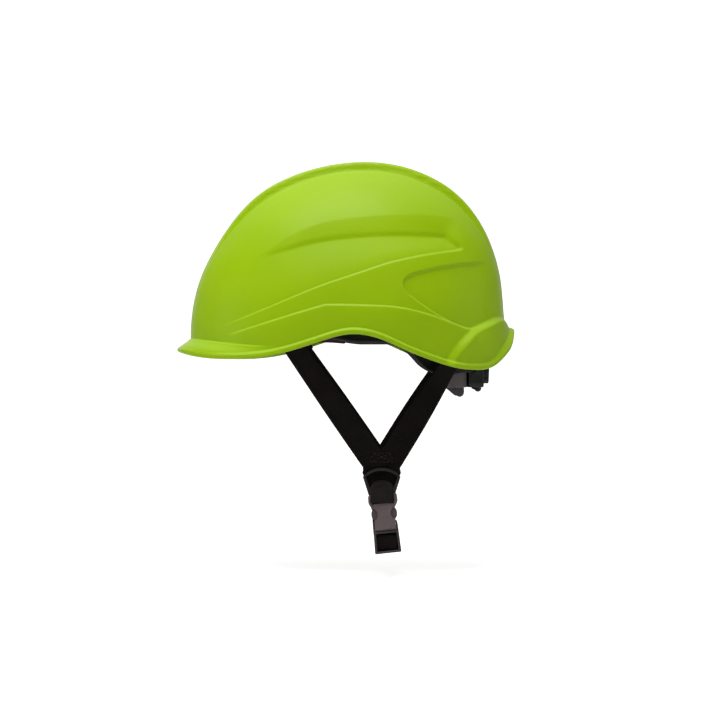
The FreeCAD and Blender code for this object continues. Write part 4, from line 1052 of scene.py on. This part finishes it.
def buckle_male():
    """Frame round the webbing window, with shoulders beside the mouth, a middle bar and the guide."""
    outer = rounded([(-10.2, -0.4), (10.2, -0.4), (10.7, -18.6), (-10.7, -18.6)], 1.2)
    window = rounded([(-8.2, -2.4), (-8.6, -16.8), (8.6, -16.8), (8.2, -2.4)], 0.9)
    shoulder = [(8.5, -1.4), (10.2, -1.4), (9.9, 5.0), (9.3, 7.4), (8.5, 7.4)]
    guide = [(-1.4, -1), (1.4, -1), (1.2, 14), (-1.2, 14)]
    pieces = [plate("frame", [outer, window], 5.6, 0.75)]
    pieces += [plate("shoulder", [rounded(on_side(shoulder, side), 0.5)], 5.4, 0.5) for side in (-1, 1)]
    pieces.append(buckle_bar([(-9, 1.1), (-8.7, 1.3), (8.7, 1.3), (9, 1.1)], 0.6, MIDDLE_BAR_Z))
    pieces.append(plate("root", [rounded(rectangle(-9.4, 9.4, -1, 0.15), 0.2)], 3.6, 0.1))
    pieces.append(plate("guide", [rounded(guide, 0.6)], 3.4, 0.4))
    return join("male_frame", pieces)


def window_web():
    """Fold of webbing that fills the window of the male part and goes round its middle bar."""
    z = np.linspace(-2.0, -17.2, 40)
    y = 0.4 - 2.2 * np.exp(-((z - MIDDLE_BAR_Z) / 3.6) ** 2)
    across = buckle_place([(1, 0, 0)])[0] - buckle_place([(0, 0, 0)])[0]
    return ribbon("window_web", buckle_place(stack(0, y, z)), across, web_profile(17.2, 1.3))


def buckle_latch(side):
    """Springy arm with a ribbed finger head."""
    arm = [(4.8, 0.2), (6.4, 0.2), (6.5, 8.2), (8.8, 8.4), (10.0, 10.4), (10.4, 13), (10.0, 15.8),
           (8.7, 17.8), (6, 18.2), (5.0, 17.4), (4.8, 10)]
    pieces = [plate("arm", [rounded(on_side(arm, side), 0.5)], 4.0, 0.45)]
    for z in (11.4, 13.0, 14.6):
        rib = rectangle(9.0, 10.5, z - 0.35, z + 0.35)
        pieces.append(plate("rib", [rounded(on_side(rib, side), 0.2)], 3.4, 0.2))
    return join("latch", pieces)


def buckle_loop():
    """Sewn loop between the ring's bar and the eye of the female part, with a rounded tongue in front."""
    eye = buckle_place([(0, 0, EYE_BAR_Z)])[0]
    middle_x = (eye[0] + JOIN[0]) / 2
    middle_z = (RING_BAR_Z + eye[2]) / 2
    half = (RING_BAR_Z - eye[2]) / 2
    radius = 2.8
    turn = np.radians(np.linspace(0, 180, 12))
    over = [(math.cos(t) * radius, half + math.sin(t) * radius) for t in turn]
    under = [(-math.cos(t) * radius, -half - math.sin(t) * radius) for t in turn]
    track = np.array(over + under + [over[0]])
    centres = stack(middle_x, -HARNESS_Y + track[:, 0], middle_z + track[:, 1])
    core = 0 * centres
    core[:, 2] = middle_z + np.clip(track[:, 1], -half, half)
    outward = unit(centres - np.array([middle_x, -HARNESS_Y, 0]) - core)
    loop = swept("buckle_loop", centres, (1, 0, 0), outward, web_profile(15.4, 1.3))
    z = np.linspace(middle_z - half - 3, middle_z + 13.2, 26)
    inset = np.sqrt(np.clip(1 - ((z - (middle_z + 6.2)) / 7.2).clip(0, 1) ** 2, 0.004, 1))
    front_y = -HARNESS_Y - radius
    lean = 0.5 * smooth(z, middle_z + 4, middle_z + 13)
    centres = stack(middle_x - 0.3, front_y - 1.1 + lean, z)
    profile = web_profile(18.8, 1.5)
    tongue = swept("buckle_tongue", centres, (1, 0, 0), (0, -1, 0), profile, stack(inset, 1))
    arc = np.radians(np.linspace(200, -20, 30))
    line = stack(middle_x + 5.9 * np.cos(arc), front_y - 1.75, middle_z + 5.4 + 5.6 * np.sin(arc))
    seams = stitches("buckle_loop_stitches", [(line, repeat((0, -1, 0), len(line)))], 1.5, 0.8, 0.34)
    return loop, tongue, seams


def chin_web():
    """Webbing from the window of the male part, under the chin, to the ring of the right side."""
    bar = buckle_place([(0, 0, MIDDLE_BAR_Z)])[0]
    front_y = -HARNESS_Y - 1.7
    bend = 3.2
    floor = bar[2] - 5.9
    track = [(front_y + 1.6, bar[2] + 6.4), (front_y + 0.3, bar[2] + 4.6), (front_y, bar[2] + 1)]
    for a in np.radians([180, 202, 225, 247, 270]):
        track.append((front_y + bend + bend * math.cos(a), floor + bend + bend * math.sin(a)))
    for t in np.linspace(0.05, 0.98, 24):
        y = front_y + bend + t * (2 * HARNESS_Y - bend - 1)
        track.append((y, floor - 2.2 * math.sin(math.pi * min(1, 2 * t)) + 40 * t ** 4))
    fold = 2.5
    for a in np.radians(np.linspace(180, 0, 9)):
        track.append((HARNESS_Y + fold * math.cos(a), RING_BAR_Z + fold * math.sin(a)))
    track += [(HARNESS_Y + fold, RING_BAR_Z - 8), (HARNESS_Y + fold, RING_BAR_Z - 22)]
    track = curve(track, 150)
    lean = (JOIN[0] - bar[0]) / (2 * HARNESS_Y)
    x = bar[0] + lean * (track[:, 0] + HARNESS_Y)
    return ribbon("chin_web", stack(x, *track.T), (1, lean, 0), web_profile(15.8, 1.3))


# ---------------------------------------------------------------- materials

class Shading:
    """A new material, or the world, with short ways to add and link its shader nodes."""

    def __init__(self, owner, shader="Principled BSDF"):
        owner.use_nodes = True
        self.owner = owner
        self.nodes = owner.node_tree.nodes
        self.shader = self.nodes[shader]

    def feed(self, socket, value):
        """Gives a socket a number or a colour, or links it to another node's output."""
        if isinstance(value, bpy.types.NodeSocket):
            self.owner.node_tree.links.new(value, socket)
        else:
            socket.default_value = (*value, 1) if isinstance(value, tuple) else value

    def add(self, kind, **inputs):
        """New node; an underscore in an input's name stands for a space."""
        node = self.nodes.new("ShaderNode" + kind)
        for name, value in inputs.items():
            self.feed(node.inputs[name.replace("_", " ")], value)
        return node

    def finish(self, **inputs):
        """Feeds the main shader and returns the material."""
        for name, value in inputs.items():
            self.feed(self.shader.inputs[name.replace("_", " ")], value)
        return self.owner

    def place(self):
        return self.add("TexCoord").outputs["Object"]

    def noise(self, place, scale, detail=3.0, roughness=0.5):
        node = self.add("TexNoise", Vector=place, Scale=scale, Detail=detail, Roughness=roughness)
        return node.outputs["Fac"]

    def remap(self, value, low, high, to_low=0.0, to_high=1.0):
        node = self.add("MapRange", Value=value, From_Min=low, From_Max=high, To_Min=to_low, To_Max=to_high)
        return node.outputs["Result"]

    def mix(self, factor, first, second):
        """Mix of two colours."""
        node = self.add("Mix")
        node.data_type = "RGBA"
        for socket, value in zip((node.inputs[0], node.inputs[6], node.inputs[7]), (factor, first, second)):
            self.feed(socket, value)
        return node.outputs[2]

    def bump(self, height, distance, strength=1.0, **normal):
        node = self.add("Bump", Height=height, Distance=distance, Strength=strength, **normal)
        return node.outputs["Normal"]

    def calculate(self, operation, *values):
        node = self.add("Math")
        node.operation = operation
        for socket, value in zip(node.inputs, values):
            self.feed(socket, value)
        return node.outputs[0]

    def edge_wear(self, place, low, high, amount):
        """Scuffed share of the outward edges."""
        worn = self.remap(self.add("NewGeometry").outputs["Pointiness"], low, high)
        scuffs = self.remap(self.noise(place, 260, 4), 0.42, 0.7)
        return self.calculate("MULTIPLY", self.calculate("MULTIPLY", worn, scuffs), amount)


def new_shading(name):
    paint = Shading(bpy.data.materials.new(name))
    return paint, paint.place()


def shell_material():
    paint, place = new_shading("green_shell")
    tint = paint.remap(paint.noise(place, 14, 2), 0.35, 0.65)
    colour = paint.mix(tint, (0.262, 0.435, 0.0008), (0.28, 0.455, 0.0012))
    # Painted highlight: faces that look upwards are mixed towards a paler green, as if lit from above.
    up = paint.add("SeparateXYZ", Vector=paint.add("NewGeometry").outputs["Normal"]).outputs[2]
    colour = paint.mix(paint.remap(up, 0.4, 1.0, 0.0, 0.6), colour, (0.37, 0.57, 0.06))
    colour = paint.mix(paint.edge_wear(place, 0.51, 0.56, 0.3), colour, (0.42, 0.62, 0.09))
    # Painted reflection: faces seen at a grazing angle are mixed towards a pale grey-green.
    facing = paint.add("LayerWeight", Blend=0.5).outputs["Facing"]
    colour = paint.mix(paint.remap(facing, 0.72, 1.0, 0.0, 0.5), colour, (0.52, 0.60, 0.30))
    rough = paint.remap(paint.noise(place, 40, 5, 0.6), 0.3, 0.7, 0.4, 0.5)
    soft = paint.bump(paint.noise(place, 30, 2), 0.0002, 0.5)
    grain = paint.bump(paint.noise(place, 2600, 2), 0.00004, 0.7, Normal=soft)
    return paint.finish(Base_Color=colour, Roughness=rough, Normal=grain, Specular_IOR_Level=0.12)


def plastic_material(name, dark, light, roughness=0.45, grain_scale=1800, grain=0.00005):
    paint, place = new_shading(name)
    colour = paint.mix(paint.remap(paint.noise(place, 60), 0.35, 0.65), dark, light)
    worn = tuple(min(1, 2 * value + 0.02) for value in light)
    colour = paint.mix(paint.edge_wear(place, 0.52, 0.62, 0.45), colour, worn)
    rough = paint.remap(paint.noise(place, 220), 0.3, 0.7, roughness - 0.06, roughness + 0.08)
    bumps = paint.bump(paint.noise(place, grain_scale, 2), grain)
    return paint.finish(Base_Color=colour, Roughness=rough, Normal=bumps, Specular_IOR_Level=0.25)


def webbing_material(name, dark, light, pitch=0.0012):
    """Herringbone weave that follows the webbing; the map holds metres across and along it."""
    paint, place = new_shading(name)
    cloth = paint.add("UVMap")
    cloth.uv_map = "cloth"
    across, along, _ = paint.add("SeparateXYZ", Vector=cloth.outputs["UV"]).outputs
    turn = 2 * math.pi / pitch
    columns = paint.calculate("SINE", paint.calculate("MULTIPLY", across, turn))
    zigzag = paint.calculate("MULTIPLY", paint.calculate("PINGPONG", across, pitch * 2), turn * 0.9)
    lean = paint.calculate("ADD", zigzag, paint.calculate("MULTIPLY", along, turn * 0.8))
    picks = paint.calculate("MULTIPLY", paint.calculate("SINE", lean), 0.3)
    weave = paint.calculate("ADD", picks, paint.calculate("MULTIPLY", columns, 0.2))
    weave = paint.calculate("ADD", weave, 0.5)
    faded = paint.remap(paint.noise(place, 45), 0.4, 0.75, 0.0, 0.4)
    colour = paint.mix(faded, paint.mix(weave, dark, light), tuple(1.5 * value + 0.003 for value in light))
    bumps = paint.bump(paint.noise(place, 3000), 0.00006, 0.6, Normal=paint.bump(weave, 0.00025, 0.9))
    return paint.finish(Base_Color=colour, Normal=bumps, Roughness=0.8, Sheen_Weight=0.015,
                        Sheen_Roughness=0.5, Specular_IOR_Level=0.1)


def padding_material(name, dark, light):
    """Knitted pad cloth with a fine mesh of pores."""
    paint, place = new_shading(name)
    cells = paint.add("TexVoronoi", Vector=place, Scale=620).outputs["Distance"]
    pores = paint.remap(cells, 0.05, 0.45)
    bumps = paint.bump(paint.noise(place, 2400), 0.0001, 0.6, Normal=paint.bump(pores, 0.0003, 0.8))
    return paint.finish(Base_Color=paint.mix(pores, dark, light), Normal=bumps, Roughness=0.9,
                        Sheen_Weight=0.03, Specular_IOR_Level=0.1)


def metal_material():
    paint, place = new_shading("plated_steel")
    marks = paint.noise(place, 900, 4)
    colour = paint.mix(marks, (0.42, 0.42, 0.43), (0.62, 0.61, 0.6))
    rough = paint.remap(marks, 0.3, 0.7, 0.25, 0.42)
    return paint.finish(Base_Color=colour, Roughness=rough, Normal=paint.bump(marks, 0.00002), Metallic=1.0)


def thread_material():
    paint, place = new_shading("black_thread")
    twist = paint.noise(place, 4000, 2)
    colour = paint.mix(twist, (0.001, 0.0006, 0.0006), (0.005, 0.003, 0.003))
    return paint.finish(Base_Color=colour, Roughness=0.6, Normal=paint.bump(twist, 0.00004))


GREEN = shell_material()
BLACK_PLASTIC = plastic_material("black_plastic", (0.011, 0.0105, 0.011), (0.017, 0.016, 0.0165))
CRADLE_GREY = plastic_material("cradle_grey", (0.075, 0.06, 0.063), (0.095, 0.078, 0.082), 0.5)
BUCKLE_GREY = plastic_material("buckle_grey", (0.10, 0.074, 0.076), (0.124, 0.093, 0.096), 0.42)
# Painted shade: the buckle grey made darker for the male part, which sits set back in shade.
BUCKLE_SHADED = plastic_material("buckle_shaded", (0.04, 0.031, 0.033), (0.055, 0.045, 0.047), 0.42)
LATCH_GREY = plastic_material("latch_grey", (0.066, 0.05, 0.052), (0.08, 0.062, 0.064), 0.42)
RING_PLASTIC = plastic_material("ring_plastic", (0.012, 0.010, 0.0105), (0.02, 0.017, 0.018), 0.4)
KNOB_RUBBER = plastic_material("knob_rubber", (0.012, 0.011, 0.012), (0.02, 0.018, 0.019), 0.62, 900, 0.0001)
WEBBING = webbing_material("black_webbing", (0.0014, 0.0007, 0.0006), (0.0055, 0.0032, 0.0026))
BUCKLE_WEBBING = webbing_material("grey_webbing", (0.005, 0.0035, 0.0035), (0.016, 0.0125, 0.0125), 0.001)
PADDING = padding_material("pad_cloth", (0.010, 0.002, 0.003), (0.045, 0.012, 0.017))
NAPE_CLOTH = padding_material("nape_cloth", (0.012, 0.010, 0.011), (0.05, 0.044, 0.046))
STEEL = metal_material()
THREAD = thread_material()


# ---------------------------------------------------------------- floor, light, camera

def lit_for_camera(paint, seen, lighting, mirrored):
    """Strength that the camera sees, that lights the object, and that its surfaces mirror."""
    path = paint.add("LightPath")
    light = paint.remap(path.outputs["Is Glossy Ray"], 0, 1, lighting, mirrored)
    extra = paint.calculate("MULTIPLY", path.outputs["Is Camera Ray"], seen - lighting)
    return paint.calculate("ADD", light, extra)


def hide_from_behind(paint):
    """Lets the camera look through the back of a surface."""
    mix = paint.add("MixShader")
    shaders = (paint.add("NewGeometry").outputs["Backfacing"], paint.shader.outputs[0],
               paint.add("BsdfTransparent").outputs[0])
    for socket, value in zip(mix.inputs, shaders):
        paint.feed(socket, value)
    paint.feed(paint.nodes["Material Output"].inputs["Surface"], mix.outputs[0])


def studio_floor():
    """Pale floor that curves up into a backdrop."""
    low = CAD_BOX[0][2] - 0.02
    bend = 1.5
    turns = np.radians(np.linspace(9, 90, 10))
    section = [(-6, 0), (bend, 0)]
    section += [(bend + bend * math.sin(t), bend - bend * math.cos(t)) for t in turns]
    section.append((2 * bend, 5.0))
    points = [(x, y, low + z) for y, z in section for x in (-6, 6)]
    floor = make_mesh("floor", np.array(points) / MM, grid_faces(len(section), 2))
    paint = Shading(bpy.data.materials.new("pale_floor"))
    paint.finish(Base_Color=(0.8, 0.8, 0.8), Roughness=0.9, Emission_Color=(1, 1, 1),
                 Emission_Strength=lit_for_camera(paint, 0.75, 0.1, 0.0))
    hide_from_behind(paint)
    floor.data.materials.append(paint.owner)
    if floor.data.polygons[0].normal.z < 0:
        floor.data.flip_normals()


def area_light(name, place, target, size, watts):
    light = bpy.data.lights.new(name, "AREA")
    light.shape = "DISK"
    light.size = size
    light.energy = watts
    lamp = add_object(name, light)
    lamp.location = place
    lamp.visible_camera = False
    lamp.rotation_euler = (Vector(target) - Vector(place)).to_track_quat("-Z", "Y").to_euler()


def studio():
    world = bpy.data.worlds.new("studio")
    bpy.context.scene.world = world
    paint = Shading(world, "Background")
    paint.finish(Color=(1, 1, 1), Strength=lit_for_camera(paint, 1.0, 0.24, 0.0))
    area_light("key", (-0.25, -0.6, 1.75), (0, 0, 0.05), 1.4, 39)
    area_light("left", (-1.9, -0.5, 0.3), (0, 0, 0.02), 1.0, 6)
    area_light("right", (1.9, -0.3, 0.4), (0, 0, 0.02), 1.0, 3.5)
    bpy.context.scene.view_settings.view_transform = "Standard"


EYE_DISTANCE = 2.2
PICTURE_WIDTH = 0.6034
PICTURE_X = 0.0117
PICTURE_Z = -0.0134


def camera():
    """Level view of the wearer's left side, with the picture's width and middle in metres."""
    lens = bpy.data.cameras.new("camera")
    lens.sensor_width = 36
    lens.lens = lens.sensor_width * EYE_DISTANCE / PICTURE_WIDTH
    eye = add_object("camera", lens)
    eye.location = (PICTURE_X, -EYE_DISTANCE, PICTURE_Z)
    eye.rotation_euler = (math.pi / 2, 0, 0)
    bpy.context.scene.camera = eye


# ---------------------------------------------------------------- build

def fit(piece, material, slot, body, *replaced):
    """Paints a piece, hides the CAD nodes that it stands for and names it after the first, and sets it on its
    body. The slot is not used.
    """
    piece.data.materials.clear()
    piece.data.materials.append(material)
    if replaced:
        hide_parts(*replaced)
        piece.name = replaced[0] + "_look"
    if body:
        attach(piece, body)
    return piece


def finish_cad_nodes():
    """Welds, bevels and paints the CAD nodes that stay in view."""
    paint = {"webbing": WEBBING, "crown_webbing": WEBBING, "pad_fabric": PADDING, "steel": STEEL,
             "buckle_plastic": BUCKLE_GREY, "cradle_plastic": CRADLE_GREY, "inner_plastic": BLACK_PLASTIC,
             "knob_rubber": KNOB_RUBBER, "shell_plastic": GREEN}
    slots = {entry["node"]: entry["material_slot"] for entry in frame["record"]["subparts"]}
    special = {"strap_divider_left": RING_PLASTIC, "strap_divider_right": RING_PLASTIC,
               "ratchet_housing": BLACK_PLASTIC, "ratchet_cover": BLACK_PLASTIC}
    widths = {"strap_divider_left": 0.7, "strap_divider_right": 0.7,
              "ratchet_knob": 0.7, "ratchet_housing": 0.5, "nape_cradle": 0.6}
    for name, node in frame["nodes"].items():
        if node.hide_render:
            continue
        node.data.materials.clear()
        node.data.materials.append(special.get(name, paint[slots[name]]))
        normals = node.data.attributes.get("custom_normal")
        if normals:
            node.data.attributes.remove(normals)
        shade_smooth(node.data)
        weld = node.modifiers.new("weld", "WELD")
        weld.merge_threshold = 0.00002
        bevel(node, widths.get(name, 0.3), 3 if name in widths else 2)


def build_shell():
    points, faces = shell_faces(481)
    fit(make_mesh("helmet_shell", points, faces), GREEN, "shell_plastic", "helmet", "shell")
    for piece in (shell_sockets(), anchor_bosses()):
        bevel(piece, 0.5)
        fit(piece, GREEN, "shell_plastic", "helmet")


def build_suspension():
    fit(headband(), BLACK_PLASTIC, "inner_plastic", "helmet", "headband")
    for name, angle, layer in (("middle", 90, 0), ("left", 20, 1), ("right", -20, 2)):
        name = "crown_strap_" + name
        fit(crown_strap(name, angle, layer), WEBBING, "crown_webbing", "helmet", name)
    build_cushion("brow_pad", brow_patch, (89, 11), 6.0, [-0.75, -0.5, -0.25, 0, 0.25, 0.5, 0.75], "helmet")
    build_cushion("nape_pad", nape_patch, (37, 13), 5.4, [-0.5, 0, 0.5], "nape_cradle", NAPE_CLOTH)
    build_cushion("crown_pad", crown_patch, (19, 19), 5.0, [], "helmet")


def build_cushion(name, patch, counts, thickness, u_lines, body, cloth=PADDING):
    """Pad blown up as cloth, with rows of stitches along its quilting lines."""
    pad = cushion(name, patch, *counts, thickness)
    puffed(pad, quilt(pad, *counts, u_lines))
    fit(pad, cloth, "pad_fabric", body, name)
    lines = []
    for u in u_lines:
        points, outward = patch(np.full(30, u), np.linspace(-0.86, 0.86, 30))
        lines.append((points - outward * thickness * 0.24, -outward))
    if lines:
        fit(stitches(name + "_stitches", lines, 2.4, 1.0, 0.5), THREAD, "pad_fabric", body)


def ratchet_nub():
    """Rounded rest under the ratchet housing."""
    half = [(7, 0.5), (6.7, 1.6), (6.0, 2.4), (5, 2.8)]
    nub = turned([(-x, r) for x, r in half] + half[::-1], lambda p: p[:, [1, 0, 2]] + [110.4, 0, -37.1])
    nub.name = "ratchet_nub"
    return nub


def build_nape():
    fit(ratchet_nub(), BLACK_PLASTIC, "inner_plastic", "nape_cradle")
    for side, name in SIDES.items():
        arm = fit(nape_arm(side), BLACK_PLASTIC, "inner_plastic", None, "nape_arm_" + name)
        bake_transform(arm)


def build_harness():
    for side, name in SIDES.items():
        body = "harness_" + name
        for front, place in ((True, "front"), (False, "rear")):
            strap = fit(chin_strap(front, side), WEBBING, "webbing", None, "chin_strap_" + place + "_" + name)
            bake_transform(strap)
        fit(strap_stitches(side), THREAD, "webbing", body)
        fit(strap_fold(side), WEBBING, "webbing", body)


def build_buckle():
    loop, tongue, seams = buckle_loop()
    fit(loop, BUCKLE_WEBBING, "webbing", "buckle_female", "buckle_loop")
    fit(tongue, BUCKLE_WEBBING, "webbing", "buckle_female")
    fit(seams, THREAD, "webbing", "buckle_female")
    fit(buckle_female(), BUCKLE_GREY, "buckle_plastic", "buckle_female", "buckle_female")
    # The male frame takes the buckle grey darkened as painted shade.
    fit(buckle_male(), BUCKLE_SHADED, "buckle_plastic", "buckle_male", "buckle_male")
    fit(window_web(), WEBBING, "webbing", "buckle_male")
    for side, name in ((-1, "buckle_latch_front"), (1, "buckle_latch_rear")):
        fit(buckle_latch(side), LATCH_GREY, "buckle_plastic", name, name)
    web = fit(chin_web(), WEBBING, "webbing", None, "chin_web")
    bar = buckle_place([(0, 0, MIDDLE_BAR_Z)])[0] * MM
    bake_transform(web)


studio_floor()
studio()
camera()
build_shell()
build_suspension()
build_nape()
build_harness()
build_buckle()
finish_cad_nodes()
